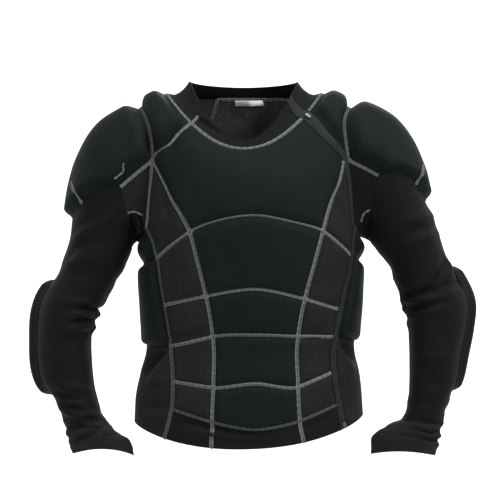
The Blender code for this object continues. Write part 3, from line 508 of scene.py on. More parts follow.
def add_torso(net):
    """Add the torso's cells, seam by seam."""
    seams = torso_seams()

    def block(grid, name_of):
        net.add_grid([[torso_point(place) for place in row] for row in grid], name_of)

    uprights = {
        "side right": seams["side right"], "princess right": seams["princess right"],
        "princess left": seams["princess left"], "placket front": seams["placket front"],
        "placket back": seams["placket back"],
    }
    corner = {name: [run[offset] for offset in ROW_OFFSETS] for name, run in uprights.items()}

    def row_run(first, last, row, steps):
        knots = [corner[first][row], corner[last][row]]
        if row > 0 and (first, last) == ("princess right", "princess left"):
            crown = [place_seen(*spot) for spot in ROW_CROWNS[ROW_NAMES[row]]]
            outer = [corner["side right"][row], knots[0], *crown, knots[1], corner["placket front"][row]]
            fine = [row_at(outer, 1 + k / 8) for k in range(8 * (len(crown) + 1) + 1)]
            return along(fine, steps)
        if row == 0:
            return straight(*knots, steps)
        return along(knots, steps)

    columns = (("side right", "princess right", PANEL_STEPS, "right"),
               ("princess right", "princess left", CENTRE_STEPS, None),
               ("princess left", "placket front", PANEL_STEPS, "left"))
    chest_arcs = {}
    for first, last, steps, side in columns:
        rows = [row_run(first, last, row, steps) for row in range(len(ROW_OFFSETS))]
        chest_arcs[first] = rows[-1]
        for band in range(len(ROW_STEPS)):
            low, high = ROW_OFFSETS[band], ROW_OFFSETS[band + 1] + 1
            name = FLANK_PANELS[band].format(side) if side else FRONT_PANELS[band]
            grid = patch(rows[band], rows[band + 1], uprights[first][low:high], uprights[last][low:high])
            block(grid, lambda j, i, name=name: name)

    # Above the chest arc
    start = ROW_OFFSETS[-1]
    neckline = straight(seams["yoke right"][-1], seams["yoke left"][0], NECKLINE_STEPS)
    chest_top = joined(seams["yoke right"], neckline, seams["yoke left"])
    block(patch(chest_arcs["princess right"], chest_top, seams["princess right"][start:],
                seams["princess left"][start:]), lambda j, i: "chest_panel")
    armhole_side = joined(seams["side right"][start:], seams["armhole front", -1])
    apex_right = [armhole_side[-1]] * len(PANEL_STEPS)
    block(patch(chest_arcs["side right"], apex_right, armhole_side, seams["princess right"][start:]),
          lambda j, i: "side_chest_right")
    placket_run = joined(seams["placket front"][start:], seams["placket edge"])
    apex_left = [placket_run[-1]] * len(PANEL_STEPS)
    block(patch(chest_arcs["princess left"], apex_left, seams["princess left"][start:], placket_run),
          lambda j, i: "side_chest_left")

    # Zip placket: up the side, then along the yoke
    front_run = joined(seams["placket front"][:start + 1], placket_run)
    back_run = joined(seams["placket back"], seams["armhole front", 1])
    for j in range(len(front_run) - 1):
        strip = [straight(front_run[j + k], back_run[j + k], STRIP_STEPS) for k in (0, 1)]
        block(strip, lambda j, i: "zip_placket")
    lower, upper = seams["yoke left"], seams["yoke pad left"]
    yoke_grid = list(zip(*(straight(a, b, STRIP_STEPS) for a, b in zip(lower, upper))))
    block(yoke_grid, lambda j, i: "zip_placket")

    # Rib pads and side hems
    for side in (-1, 1):
        name = SIDE_NAMES[side]
        hidden = seams["rib back", side]
        seen = seams["side right"] if side < 0 else seams["placket back"]
        foot = seams["armhole foot", side]
        left, right = (hidden, seen) if side < 0 else (seen, hidden)
        top = foot if side < 0 else foot[::-1]
        spans = ((0, ROW_OFFSETS[3], "side_hem_" + name),
                 (ROW_OFFSETS[3], ROW_OFFSETS[5], "rib_pad_lower_" + name),
                 (ROW_OFFSETS[5], RIB_TOP, "rib_pad_upper_" + name))
        for low, high, piece in spans:
            bottom_run = straight(left[low], right[low], PANEL_STEPS)
            top_run = top if high == RIB_TOP else straight(left[high], right[high], PANEL_STEPS)
            block(patch(bottom_run, top_run, left[low:high + 1], right[low:high + 1]),
                  lambda j, i, piece=piece: piece)

    # Back
    left = seams["rib back", 1]
    right = turned(seams["rib back", -1], 360)
    base = straight(left[0], right[0], CENTRE_STEPS)
    shelf = straight(left[-1], right[-1], CENTRE_STEPS)
    block(patch(base, shelf, left, right), lambda j, i: "back_panel")
    left = seams["armhole back", 1]
    right = turned(seams["armhole back", -1], 360)
    back_neck = straight(seams["back yoke", 1][-1], seams["back yoke", -1][-1], NECKLINE_STEPS)
    top = joined(seams["back yoke", 1], back_neck, seams["back yoke", -1][::-1])
    block(patch(shelf, top, left, right), lambda j, i: "back_panel")

    # Shoulder pads
    over = seams["armhole over", -1]
    back_edge = turned(seams["back yoke", -1], -360)
    neck_right = straight(back_edge[-1], seams["yoke right"][-1], OVER_STEPS)
    block(patch(over, neck_right, back_edge, seams["yoke right"]), lambda j, i: "shoulder_pad_right")
    over = seams["armhole over", 1][::-1]
    front_edge = seams["yoke pad left"][::-1]
    neck_left = straight(front_edge[-1], seams["back yoke", 1][-1], OVER_STEPS)
    block(patch(over, neck_left, front_edge, seams["back yoke", 1]), lambda j, i: "shoulder_pad_left")

    # Collar, from the placket round the back to the placket again
    strip = straight(seams["yoke left"][0], seams["yoke pad left"][0], STRIP_STEPS)
    round_neck = joined(strip, neck_left, back_neck, turned(neck_right, 360), turned(neckline, 360))
    strip_cells = len(STRIP_STEPS) - 1
    grid = [[ring_point(COLLAR_ROWS, angle, step * (len(COLLAR_ROWS) - 1)) for angle, _ in round_neck]
            for step in COLLAR_STEPS]
    net.add_grid(grid, lambda j, i: "zip_placket" if i < strip_cells else "collar")
    return seams


# Sleeves
def sleeve_ring(side, angle, section):
    """Point of the sleeve on its own sections, which start at 1."""
    row = row_at(SLEEVE[side], section - 1)
    outer_across, outer_height, inner_across, inner_height, half_depth, set_back, arch, pinch = row
    cosine = math.cos(math.radians(angle))
    sine = math.sin(math.radians(angle))
    share = (1 - cosine) / 2
    depth = half_depth * (1 - pinch * share ** 2)
    return np.array((outer_across + (inner_across - outer_across) * share,
                     set_back - depth * sine,
                     outer_height + (inner_height - outer_height) * share + arch * sine ** 2))


def sleeve_point(side, angle, section, armhole):
    """Point of the sleeve at an angle and a fractional section; section 0 is the armhole."""
    near_seam = max(math.cos(math.radians(angle - APEX)), 0.0) ** 2

    def ring(level):
        fade = min(max((TURN_END - level) / (TURN_END - TURN_FROM), 0.0), 1.0)
        return sleeve_ring(side, angle + SEAM_TURN[side] * near_seam * fade, level)

    if section >= 2:
        return tuple(ring(section))
    first, second, third = (ring(k) for k in (1, 2, 3))
    if section < 1:
        return tuple(catmull(2 * armhole - first, armhole, first, second, section))
    return tuple(catmull(armhole, first, second, third, section - 1))


def sleeve_angles():
    """Angles of the sleeve's columns, the same as the armhole's points."""
    runs = {run: [start + (end - start) * step for step in steps]
            for run, (start, end, steps) in ARMHOLE_RUNS.items()}
    return joined(runs["front"][::-1], runs["foot"][::-1], runs["back"], runs["over"])


def sleeve_sections(angle):
    """Section numbers of the sleeve's rows at an angle, bent along the cap's lower edge."""
    reach = straight_at(CAP_REACH, angle)
    rows = [reach * step for step in CAP_STEPS]
    rows += [reach + (STRAIGHT_FROM - reach) * step for step in BELOW_CAP_STEPS]
    straight_rows = (LAST_SECTION - STRAIGHT_FROM) * SECTION_STEPS
    rows += [STRAIGHT_FROM + row / SECTION_STEPS for row in range(straight_rows + 1)]
    return rows


def row_of_section(section):
    """Row of cells that starts at one of the straight sections."""
    return len(CAP_STEPS) + len(BELOW_CAP_STEPS) + (section - STRAIGHT_FROM) * SECTION_STEPS


def add_sleeve(net, side, seams):
    """Add one sleeve's cells; returns its point numbers by row and column."""
    places = joined(seams["armhole front", side][::-1], seams["armhole foot", side][::-1],
                    seams["armhole back", side], seams["armhole over", side])
    armhole = [np.array(torso_point(place)) for place in places]
    angles = sleeve_angles()
    columns = [[sleeve_point(side, angle, section, edge) for section in sleeve_sections(angle)]
               for angle, edge in zip(angles, armhole)]
    for column, edge in zip(columns, armhole):
        column[0] = tuple(edge)
    grid = [list(row) for row in zip(*columns)]
    cap_rows = len(CAP_STEPS) - 1
    cuff_row = row_of_section(CUFF_SECTION)

    def name_of(row, column):
        middle = (angles[column] + angles[column + 1]) / 2
        if row >= cuff_row:
            piece = "cuff"
        elif row < cap_rows and middle < BACK_APEX:
            piece = "underarm_gusset"
        elif row < cap_rows:
            piece = "cap_tail" if row >= TAIL_ROW and middle < TAIL_FRONT else "cap_pad"
        else:
            piece = "sleeve_front" if middle < 180 or middle > 360 else "sleeve_back"
        return piece + "_" + SIDE_NAMES[side]

    return net.add_grid(grid, name_of, flip=side < 0), angles


# Creases of each part of the garment, in millimetres as seen from straight ahead or straight behind.
# Columns: half width, height (a trough is negative), then the crease's points (across, height)
FRONT_CREASES = {
    "right sleeve": (
        # Forearm, above the cuff
        (7, 1.5, (-338, -512), (-310, -516), (-283, -520)),
        (6, -2.0, (-343, -522), (-315, -534), (-290, -537)),
        (7, 1.6, (-342, -532), (-318, -543), (-290, -549)),
        (6, -2.4, (-334, -540), (-312, -551), (-284, -560)),
        (8, 2.0, (-331, -549), (-305, -562), (-274, -566)),
        (6, -2.8, (-332, -575), (-308, -573), (-272, -574)),
        (7, 2.4, (-322, -582), (-300, -577), (-266, -582)),
        (5, -2.6, (-322, -592), (-306, -586), (-284, -584)),
        (7, 2.2, (-321, -599), (-300, -596), (-275, -590), (-250, -583)),
        (6, -2.8, (-316, -611), (-296, -605), (-274, -596), (-258, -584)),
        (8, 2.4, (-314, -618), (-290, -612), (-262, -596), (-244, -586)),
        # Underarm gusset, under the painted shade oval
        (3, -2.4, (-213, -216), (-207, -236), (-198, -258)),
        (3, 2.2, (-204, -216), (-195, -232), (-194, -252)),
        # Elbow
        (8, 2.6, (-262, -378), (-290, -372), (-322, -368)),
        (7, -3.0, (-262, -386), (-288, -381), (-316, -378)),
        (8, 3.0, (-268, -394), (-296, -390), (-322, -392)),
        (6, -2.8, (-270, -402), (-292, -402), (-312, -407)),
        (8, 2.4, (-276, -412), (-300, -412), (-320, -418)),
        (9, -2.0, (-280, -424), (-300, -428), (-314, -438)),
        # Upper arm
        (9, -2.2, (-306, -240), (-280, -226), (-252, -204), (-232, -186)),
        (10, 1.8, (-310, -262), (-282, -240), (-254, -222), (-236, -206)),
        (11, -2.0, (-316, -286), (-296, -268), (-270, -262), (-250, -266)),
        (12, 1.6, (-318, -300), (-290, -292), (-262, -296)),
        (12, -1.6, (-322, -322), (-300, -316), (-274, -322)),
    ),
    "left sleeve": (
        # Underarm gusset, under the painted shade oval
        (3, -1.6, (212, -218), (206, -236), (204, -252)),
        # Elbow
        (7, -3.4, (262, -356), (286, -354), (318, -348), (346, -336), (366, -334)),
        (8, 2.8, (268, -366), (292, -366), (322, -362), (350, -352)),
        (7, -2.6, (270, -380), (290, -378), (312, -371), (338, -364)),
        (8, 2.0, (272, -392), (296, -389), (326, -378)),
        (7, -2.6, (338, -292), (336, -312), (324, -330), (304, -346)),
        (9, 2.4, (346, -298), (348, -316), (340, -332)),
        (8, 2.2, (262, -346), (290, -342), (312, -334)),
        # Upper arm
        (10, 2.2, (322, -216), (300, -222), (272, -232)),
        (9, -2.4, (328, -232), (302, -238), (272, -246), (252, -256)),
        (10, 1.8, (330, -248), (306, -256), (276, -266)),
        (12, -1.8, (298, -170), (276, -196), (258, -232)),
        (12, 1.6, (284, -168), (262, -198), (246, -236)),
        # Forearm, above the cuff
        (9, 1.2, (300, -470), (330, -462), (352, -450)),
        (9, -1.2, (290, -512), (316, -510), (346, -504)),
        (6, -2.0, (288, -574), (310, -580), (336, -574)),
        (6, 2.2, (286, -582), (308, -588), (336, -582)),
        (5, -2.6, (296, -590), (314, -596), (334, -594)),
        (6, 2.4, (300, -598), (318, -603), (334, -602)),
        (5, -2.6, (300, -606), (318, -610), (330, -611)),
        (6, 2.0, (296, -612), (314, -618), (328, -618)),
    ),
    "torso": (
        # Side hems, under the rib pads
        (9, -6.0, (-150, -452), (-168, -468), (-184, -492)),
        (12, 3.4, (-140, -462), (-158, -486), (-172, -516)),
        (10, -2.0, (-142, -545), (-164, -548), (-188, -552)),
        (8, 1.6, (-140, -562), (-162, -564), (-186, -566)),
        (9, -6.0, (158, -440), (170, -452), (184, -470)),
        (12, 3.0, (156, -456), (168, -476), (178, -500)),
        (9, -2.0, (152, -520), (170, -510), (190, -500)),
        # Hem band
        (7, -2.4, (-134, -572), (-104, -574), (-72, -580), (-20, -590), (30, -590), (74, -584)),
        (6, 1.6, (-130, -584), (-96, -586), (-60, -594), (-10, -602)),
        (6, -1.6, (-60, -600), (0, -606), (50, -602)),
        (6, -2.0, (88, -580), (112, -572), (138, -560)),
        # Belly rows, pulled beside the side seam
        (6, -2.4, (-132, -432), (-116, -424), (-92, -420), (-74, -418)),
        (7, -1.8, (122, -424), (104, -420), (88, -418)),
        # Side chest and shoulder
        (8, -2.0, (-150, -178), (-146, -200), (-140, -222)),
        (9, -1.6, (146, -184), (150, -212), (156, -240)),
        (10, -2.2, (-128, -62), (-134, -90), (-140, -120)),
        # Collar front, where the band turns
        (5, -1.4, (-96, -46), (-74, -62), (-52, -76)),
        (5, 1.2, (-100, -36), (-80, -52), (-58, -68)),
    ),
}
BACK_CREASES = {
    "right sleeve": (
        (8, 2.4, (-262, -392), (-288, -398), (-312, -396)),
        (7, -2.6, (-266, -404), (-290, -409), (-310, -406)),
        (8, 2.0, (-272, -416), (-294, -420), (-312, -416)),
        (8, -1.8, (-278, -548), (-300, -546), (-330, -550)),
        (7, 2.0, (-270, -560), (-296, -558), (-328, -564)),
        (7, -2.2, (-264, -576), (-292, -574), (-324, -580)),
        (7, 2.2, (-258, -588), (-288, -588), (-320, -596)),
        (6, -2.0, (-250, -598), (-282, -600), (-316, -608)),
        (10, -2.0, (-240, -330), (-272, -310), (-312, -296)),
        (11, 1.8, (-246, -346), (-278, -330), (-316, -318)),
    ),
    "left sleeve": (
        (8, 2.4, (262, -380), (288, -388), (312, -390)),
        (7, -2.6, (268, -394), (290, -401), (310, -400)),
        (8, 2.0, (274, -408), (294, -413), (312, -412)),
        (8, -1.8, (282, -544), (304, -542), (336, -546)),
        (7, 2.0, (280, -556), (300, -556), (334, -562)),
        (7, -2.2, (276, -572), (300, -572), (330, -578)),
        (7, 2.2, (262, -586), (296, -588), (326, -594)),
        (10, -2.0, (244, -318), (276, -302), (314, -290)),
        (11, 1.8, (250, -334), (282, -320), (322, -312)),
    ),
    "torso": (
        (14, -2.4, (-112, -120), (-96, -170), (-70, -220), (-40, -262)),
        (14, -2.2, (112, -112), (98, -164), (74, -212), (46, -250)),
        (16, 2.0, (-126, -150), (-112, -210), (-84, -270)),
        (16, 1.8, (126, -146), (114, -200), (90, -258)),
        (12, -2.6, (-150, -438), (-90, -452), (-30, -456), (30, -450)),
        (13, 2.4, (-146, -462), (-84, -474), (-20, -476)),
        (12, -2.4, (146, -430), (92, -442), (40, -444)),
        (13, 2.0, (140, -452), (84, -466), (36, -470)),
        (11, -1.8, (-160, -520), (-110, -530), (-56, -528)),
        (11, 1.6, (150, -514), (102, -524), (60, -522)),
        (9, 1.4, (-120, -580), (-60, -588), (10, -586)),
        # Inside the neck
        (7, 1.5, (-44, -26), (-18, -44), (22, -46), (52, -30)),
        (6, -1.5, (-40, -38), (-10, -56), (30, -52)),
        (7, 1.4, (-30, -56), (6, -66), (44, -50)),
    ),
}
# Fine folds gathered round a sleeve. Columns: middle section, spread in sections, height, folds in a
# section, angle where they are strongest and how much weaker they are opposite
GATHERS = (
    (15.4, 1.5, 2.0, 1.7, 0, 0.3),
    (17.7, 0.9, 1.5, 1.9, 0, 0.4),
    (8.8, 1.3, 1.6, 1.3, 150, 0.7),
    (4.5, 2.2, 1.5, 0.5, 60, 0.5),
)
GATHER_STRENGTH = 2.2
LEAST_GATHER = 0.02
CREASE_STEP = 3.0
CREASE_STRENGTH = 2.7
# A crease fades towards its ends: share of the half wave it keeps, where it starts, and how blunt
FADE_SPAN, FADE_START, FADE_POWER = 0.86, 0.07, 0.7
# Cloth turned away by less than this still counts as seen
FACING_MARGIN = 0.1
# Gentle unevenness of the cloth: (size, height) of each layer
UNEVEN = ((62.0, 1.1), (24.0, 0.35))

# Form and cloth of each kind of piece, by the start of its name. Columns: start of the name, form, cloth
KINDS = (("belly_panel", "centre", "knit"), ("chest_panel", "centre", "knit"), ("flank", "flank", "mesh"),
         ("side_chest", "flank", "mesh"), ("rib_pad_upper", "rib top", "knit"),
         ("rib_pad", "rib", "knit"), ("shoulder_pad", "shoulder", "knit"),
         ("cap_", "cap", "knit"), ("zip_placket", "placket", "placket"),
         ("hem_band", "band", "rib"), ("collar", "plain", "rib"),
         ("underarm_gusset_left", "plain", "sleeve"), ("underarm_gusset", "plain", "mesh"),
         ("cuff", "plain", "mesh"), ("side_hem", "plain", "mesh"), ("back_panel", "plain", "knit"),
         ("sleeve", "plain", "sleeve"))

# Sewn seams. Columns: pieces on one side, pieces on the other, thread, width, side of the cloth,
# height above it
CENTRE = ("chest_panel", "belly_", "hem_band_centre")
FLANKS = ("side_chest", "flank_", "hem_band_right", "hem_band_left")
SEWN = (
    (CENTRE, FLANKS, "grey", 7.2, "out", 0.0),
    (("chest_panel", "side_chest"), ("belly_panel_upper", "flank_upper"), "grey", 6.8, "out", 0.0),
    (("belly_panel_upper", "flank_upper"), ("belly_panel_middle", "flank_middle"), "grey", 6.8, "out", 0.0),
    (("belly_panel_middle", "flank_middle"), ("belly_panel_lower", "flank_lower"), "grey", 6.2, "out", 0.0),
    (("belly_panel_lower", "flank_lower"), ("belly_panel_base", "flank_base"), "grey", 6.4, "out", 0.0),
    (("belly_panel_base", "flank_base"), ("hem_band",), "dim", 5.0, "out", 0.0),
    (("side_chest_right", "flank_", "hem_band_right"), ("rib_pad", "side_hem_right"), "dim", 7.4, "out", 0.0),
    (("rib_pad_lower",), ("rib_pad_upper", "side_hem"), "dark", 3.6, "out", 0.0),
    (("shoulder_pad_right",), ("chest_panel",), "grey", 7.2, "out", 0.0),
    (("cap_pad_right",), ("shoulder_pad",), "dim", 6.4, "out", 1.6),
    (("cap_pad_left",), ("shoulder_pad",), "dim", 6.0, "out", 1.6),
    (("cap_pad", "underarm_gusset"), ("back_panel", "rib_pad_upper"), "dim", 5.2, "out", 0.0),
    (("cap_pad_right", "underarm_gusset_right"), ("side_chest",), "grey", 8.2, "out", 1.6),
    (("cap_pad",), ("underarm_gusset",), "grey", 7.0, "out", 0.0),
    (("shoulder_pad",), ("collar",), "grey", 4.4, "out", 0.0),
    (("chest_panel",), ("collar",), "grey", 6.4, "out", 0.0),
    (("back_panel",), ("collar",), "grey", 5.0, "out", 0.0),
    (("back_panel",), ("shoulder_pad",), "grey", 5.8, "out", 0.0),
    (("back_panel",), ("rib_pad", "side_hem"), "dim", 6.0, "out", 0.0),
    (("back_panel",), ("collar",), "grey", 6.6, "in", 1.2),
    (("back_panel",), ("shoulder_pad",), "grey", 6.6, "in", 1.0),
    (("cap_tail", "cap_pad"), ("sleeve_",), "dark", 3.6, "out", 0.0),
    (("underarm_gusset",), ("sleeve_",), "dark", 3.8, "out", 0.0),
    (("sleeve_front",), ("sleeve_back",), "dark", 4.4, "out", 0.0),
    (("sleeve_",), ("cuff",), "dark", 4.4, "out", 0.0),
    (("zip_placket",), ("chest_panel", "shoulder_pad"), "dark", 1.8, "out", 0.0),
    (("zip_placket",), ("side_chest", "flank_", "hem_band", "rib_pad", "side_hem", "collar", "cap_pad",
                        "underarm_gusset"), "dark", 2.2, "out", 0.0),
)
# Rounded form of a sewn band: place across, from -1 to 1, and height
BAND_FORM = ((-1.0, 0.0), (-0.9, 0.45), (-0.55, 0.75), (0.0, 0.8), (0.55, 0.75), (0.9, 0.45), (1.0, 0.0))
BAND_TOP = max(rise for _, rise in BAND_FORM)
THREAD_PITCH = 3.3
THREAD_RADIUS = 0.5
LOOPER_RADIUS = 0.26
NEEDLE_LINES = (-0.72, 0.0, 0.72)


# Cloth, raised and creased
def zones_of(cells):
    """For each part of the garment, the numbers of its points."""
    found = {"torso": set(), "right sleeve": set(), "left sleeve": set()}
    for name, ring, _ in cells:
        on_sleeve = name.startswith(("sleeve", "cuff", "cap_", "underarm"))
        zone = name.split("_")[-1] + " sleeve" if on_sleeve else "torso"
        found[zone].update(ring)
    return {zone: np.array(sorted(numbers)) for zone, numbers in found.items()}


def spread_line(knots, step):
    """Points a step apart on a smooth line through its knots."""
    dense = []
    for index in range(len(knots) - 1):
        length = math.dist(knots[index], knots[index + 1])
        count = max(int(length / step), 1)
        dense += [tuple(row_at(knots, index + k / count)) for k in range(count)]
    return np.array(dense + [tuple(knots[-1])])


def nearest_on(points, facing_points, spots, sought=None):
    """The cloth's points, or its values, at places seen from one side."""
    tree = kdtree.KDTree(len(facing_points))
    seen = points if sought is None else sought
    for place, number in enumerate(facing_points):
        tree.insert((seen[number][0], 0.0, seen[number][2]), place)
    tree.balance()
    found = []
    for across, height in spots:
        near = tree.find_n((across, 0.0, height), 4)
        weights = np.array([1 / (distance + 0.3) for _, _, distance in near])
        places = np.array([points[facing_points[place]] for _, place, _ in near])
        found.append((places * weights[:, None]).sum(axis=0) / weights.sum())
    return np.array(found)


def crease_lines(points, normals, zone, numbers):
    """Every crease of a zone as (half width, height, points on the cloth)."""
    lines = []
    for creases, ahead in ((FRONT_CREASES, -1), (BACK_CREASES, 1)):
        facing = numbers[normals[numbers][:, 1] * ahead > -FACING_MARGIN]
        for half_width, height, *knots in creases[zone]:
            spots = spread_line(knots, CREASE_STEP)
            lines.append((half_width, height, nearest_on(points, facing, spots)))
    return lines


def crease_height(places, lines):
    """How far creases lift places; lines hold (half width, height, points)."""
    total = np.zeros(len(places))
    for half_width, height, line in lines:
        low = line.min(axis=0) - 3 * half_width
        high = line.max(axis=0) + 3 * half_width
        near = np.where(((places > low) & (places < high)).all(axis=1))[0]
        if not len(near):
            continue
        gaps = np.linalg.norm(places[near][:, None, :] - line[None, :, :], axis=2)
        closest = gaps.argmin(axis=1)
        share = closest / max(len(line) - 1, 1)
        fade = np.sin(np.pi * np.clip(share * FADE_SPAN + FADE_START, 0, 1)) ** FADE_POWER
        reach = gaps[np.arange(len(near)), closest] / half_width
        total[near] += CREASE_STRENGTH * height * fade * np.exp(-reach ** 2)
    return total


def gathered(side, numbers, angles):
    """How far the fine folds lift each point of a sleeve."""
    lifts = {}
    for column, angle in enumerate(angles):
        turn = math.radians(angle)
        for row, section in enumerate(sleeve_sections(angle)):
            lift = 0.0
            for layer, (middle, spread, height, folds, strongest, weaker) in enumerate(GATHERS):
                share = math.exp(-((section - middle) / spread) ** 2)
                if share < LEAST_GATHER:
                    continue
                share *= 1 - weaker * (1 - math.cos(turn - math.radians(strongest))) / 2
                spot = Vector((math.cos(turn), math.sin(turn), section * folds + 7 * layer + side))
                lift += height * share * GATHER_STRENGTH * noise.noise(spot)
            lifts[numbers[row][column]] = lift
    return lifts


def unevenness(places):
    """Slow unevenness of worn cloth."""
    lift = np.zeros(len(places))
    for size, height in UNEVEN:
        lift += [height * noise.noise(Vector(place) / size) for place in places]
    return lift


# Pieces
def linked(name, data):
    """A new object, linked to the scene."""
    obj = bpy.data.objects.new(name, data)
    bpy.context.scene.collection.objects.link(obj)
    return obj


def edges_of(cells):
    """Directed edges that only one cell has."""
    found = {}
    for cell in cells:
        for k, start in enumerate(cell):
            end = cell[(k + 1) % len(cell)]
            if (end, start) in found:
                del found[end, start]
            else:
                found[start, end] = True
    return list(found)


def shrunk(points, normals, edges):
    """Move the edge of a piece inwards by half the seam gap."""
    inward = {}
    for start, end in edges:
        direction = np.cross(normals[start] + normals[end], points[end] - points[start])
        direction /= np.linalg.norm(direction)
        inward.setdefault(start, []).append(direction)
        inward.setdefault(end, []).append(direction)
    moved = {}
    for number, directions in inward.items():
        total = sum(directions)
        spread = max(float(np.dot(total, total)) / len(directions), CORNER_SPREAD)
        moved[number] = points[number] + total * (SEAM_GAP / 2) / spread
    return moved


def edge_distances(places, starts, ends):
    """Distance from each place to the nearest of some edges."""
    spans = ends - starts
    squares = np.maximum((spans ** 2).sum(axis=1), 1e-9)
    nearest = np.full(len(places), 1e9)
    for chunk in range(0, len(places), 500):
        part = places[chunk:chunk + 500][:, None, :] - starts[None, :, :]
        shares_along = np.clip((part * spans[None]).sum(axis=2) / squares, 0, 1)
        gaps = np.linalg.norm(part - shares_along[:, :, None] * spans[None], axis=2)
        nearest[chunk:chunk + 500] = gaps.min(axis=1)
    return nearest


def pad_height(distance, kind):
    """Height of a pad at distances from its edge, with a round or a gentle slope."""
    proud, slope_width, flat_edge = PADS[kind]
    share = np.clip((distance - flat_edge) / slope_width, 0, 1)
    gentle = (1 - np.cos(share * math.pi)) / 2 * 0.35 + np.sin(share * math.pi / 2) * 0.65
    slope = gentle if kind in GENTLE else np.sqrt(1 - (1 - share) ** 2)
    return CLOTH_OUTSIDE + (proud - CLOTH_OUTSIDE) * slope


def closed_faces(cells, edges, order, count):
    """Faces outside, inside and round the edge of a piece, with their places on the flat cloth."""
    faces = [[int(order[n]) for n in ring] for _, ring, _ in cells]
    faces += [[n + count for n in reversed(face)] for face in faces]
    flat = [corner for _, _, corners in cells for corner in corners]
    flat += [corner for _, _, corners in cells for corner in reversed(corners)]
    for a, b in edges:
        start, end = int(order[a]), int(order[b])
        faces.append([end, start, start + count, end + count])
        flat += [(0.0, 0.0)] * 4
    return faces, flat


def wall(points, normals, cells, kind, dome=None, lower=()):
    """Closed mesh of a piece: points, faces, flat places, its net points and their heights."""
    rings = [ring for _, ring, _ in cells]
    edges = edges_of(rings)
    rim = edges_of(dome or rings)
    used = np.array(sorted({number for ring in rings for number in ring}))
    order = {number: k for k, number in enumerate(used)}
    steep = [(a, b) for a, b in rim if a in lower and b in lower]
    rim = [edge for edge in rim if edge not in steep]
    distance = edge_distances(points[used], points[[a for a, _ in rim]], points[[b for _, b in rim]])
    if steep:
        low = edge_distances(points[used], points[[a for a, _ in steep]], points[[b for _, b in steep]])
        distance = np.minimum(distance, low * LOWER_STEEPNESS)
    moved = shrunk(points, normals, edges)
    base = points[used].copy()
    for number, place in moved.items():
        base[order[number]] = place
    height = pad_height(distance, kind)
    outer = base + normals[used] * height[:, None]
    inner = base - normals[used] * CLOTH_INSIDE
    faces, flat = closed_faces(cells, edges, order, len(used))
    return np.concatenate((outer, inner)), faces, flat, used, height


def add_mesh(name, points, faces, finish, flat=None, sharp=50):
    """Object from points in millimetres, with its place on the flat cloth as its UV map."""
    mesh = bpy.data.meshes.new(name)
    mesh.from_pydata([tuple(point) for point in np.asarray(points, dtype=float) * MM], [], faces)
    if flat is not None:
        layer = mesh.uv_layers.new(name="cloth")
        layer.data.foreach_set("uv", (np.array(flat, dtype=float) * MM).ravel())
    mesh.materials.append(finish)
    mesh.polygons.foreach_set("use_smooth", [True] * len(mesh.polygons))
    mesh.set_sharp_from_angle(angle=math.radians(sharp))
    mesh.update()
    obj = linked(name, mesh)
    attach(obj, "root")
    return obj


def kind_of(name):
    """Padding and cloth of a piece."""
    return next((kind, cloth) for start, kind, cloth in KINDS if name.startswith(start))


# Sewing
def chains(edges):
    """Edges joined end to end into runs of numbers."""
    beside = {}
    for a, b in edges:
        beside.setdefault(a, set()).add(b)
        beside.setdefault(b, set()).add(a)
    runs = []
    while beside:
        ends = [number for number in beside if len(beside[number]) == 1]
        run = [ends[0] if ends else next(iter(beside))]
        while run[-1] in beside and beside[run[-1]]:
            following = min(beside[run[-1]])
            for a, b in ((run[-1], following), (following, run[-1])):
                beside[a].discard(b)
            run.append(following)
        beside = {number: links for number, links in beside.items() if links}
        runs.append(run)
    return runs


def seam_edges(cells):
    """Edges shared by two pieces, with both names."""
    owner, shared = {}, []
    for name, ring, _ in cells:
        for k, start in enumerate(ring):
            edge = tuple(sorted((start, ring[(k + 1) % len(ring)])))
            if edge in owner and owner[edge] != name:
                shared.append((edge, owner[edge], name))
            owner[edge] = name
    return shared


def smoothed(line, rounds=2):
    """A line of places with small kinks taken out."""
    for _ in range(rounds):
        line = np.concatenate((line[:1], (line[:-2] + 2 * line[1:-1] + line[2:]) / 4, line[-1:]))
    return line


def evenly(line, normals, step):
    """Places and normals a step apart along a line."""
    lengths = np.concatenate(([0], np.cumsum(np.linalg.norm(np.diff(line, axis=0), axis=1))))
    count = max(int(round(lengths[-1] / step)), 2)
    wanted = np.linspace(0, lengths[-1], count + 1)
    places = np.stack([np.interp(wanted, lengths, line[:, k]) for k in range(3)], axis=1)
    directions = np.stack([np.interp(wanted, lengths, normals[:, k]) for k in range(3)], axis=1)
    return places, directions / np.linalg.norm(directions, axis=1)[:, None], wanted


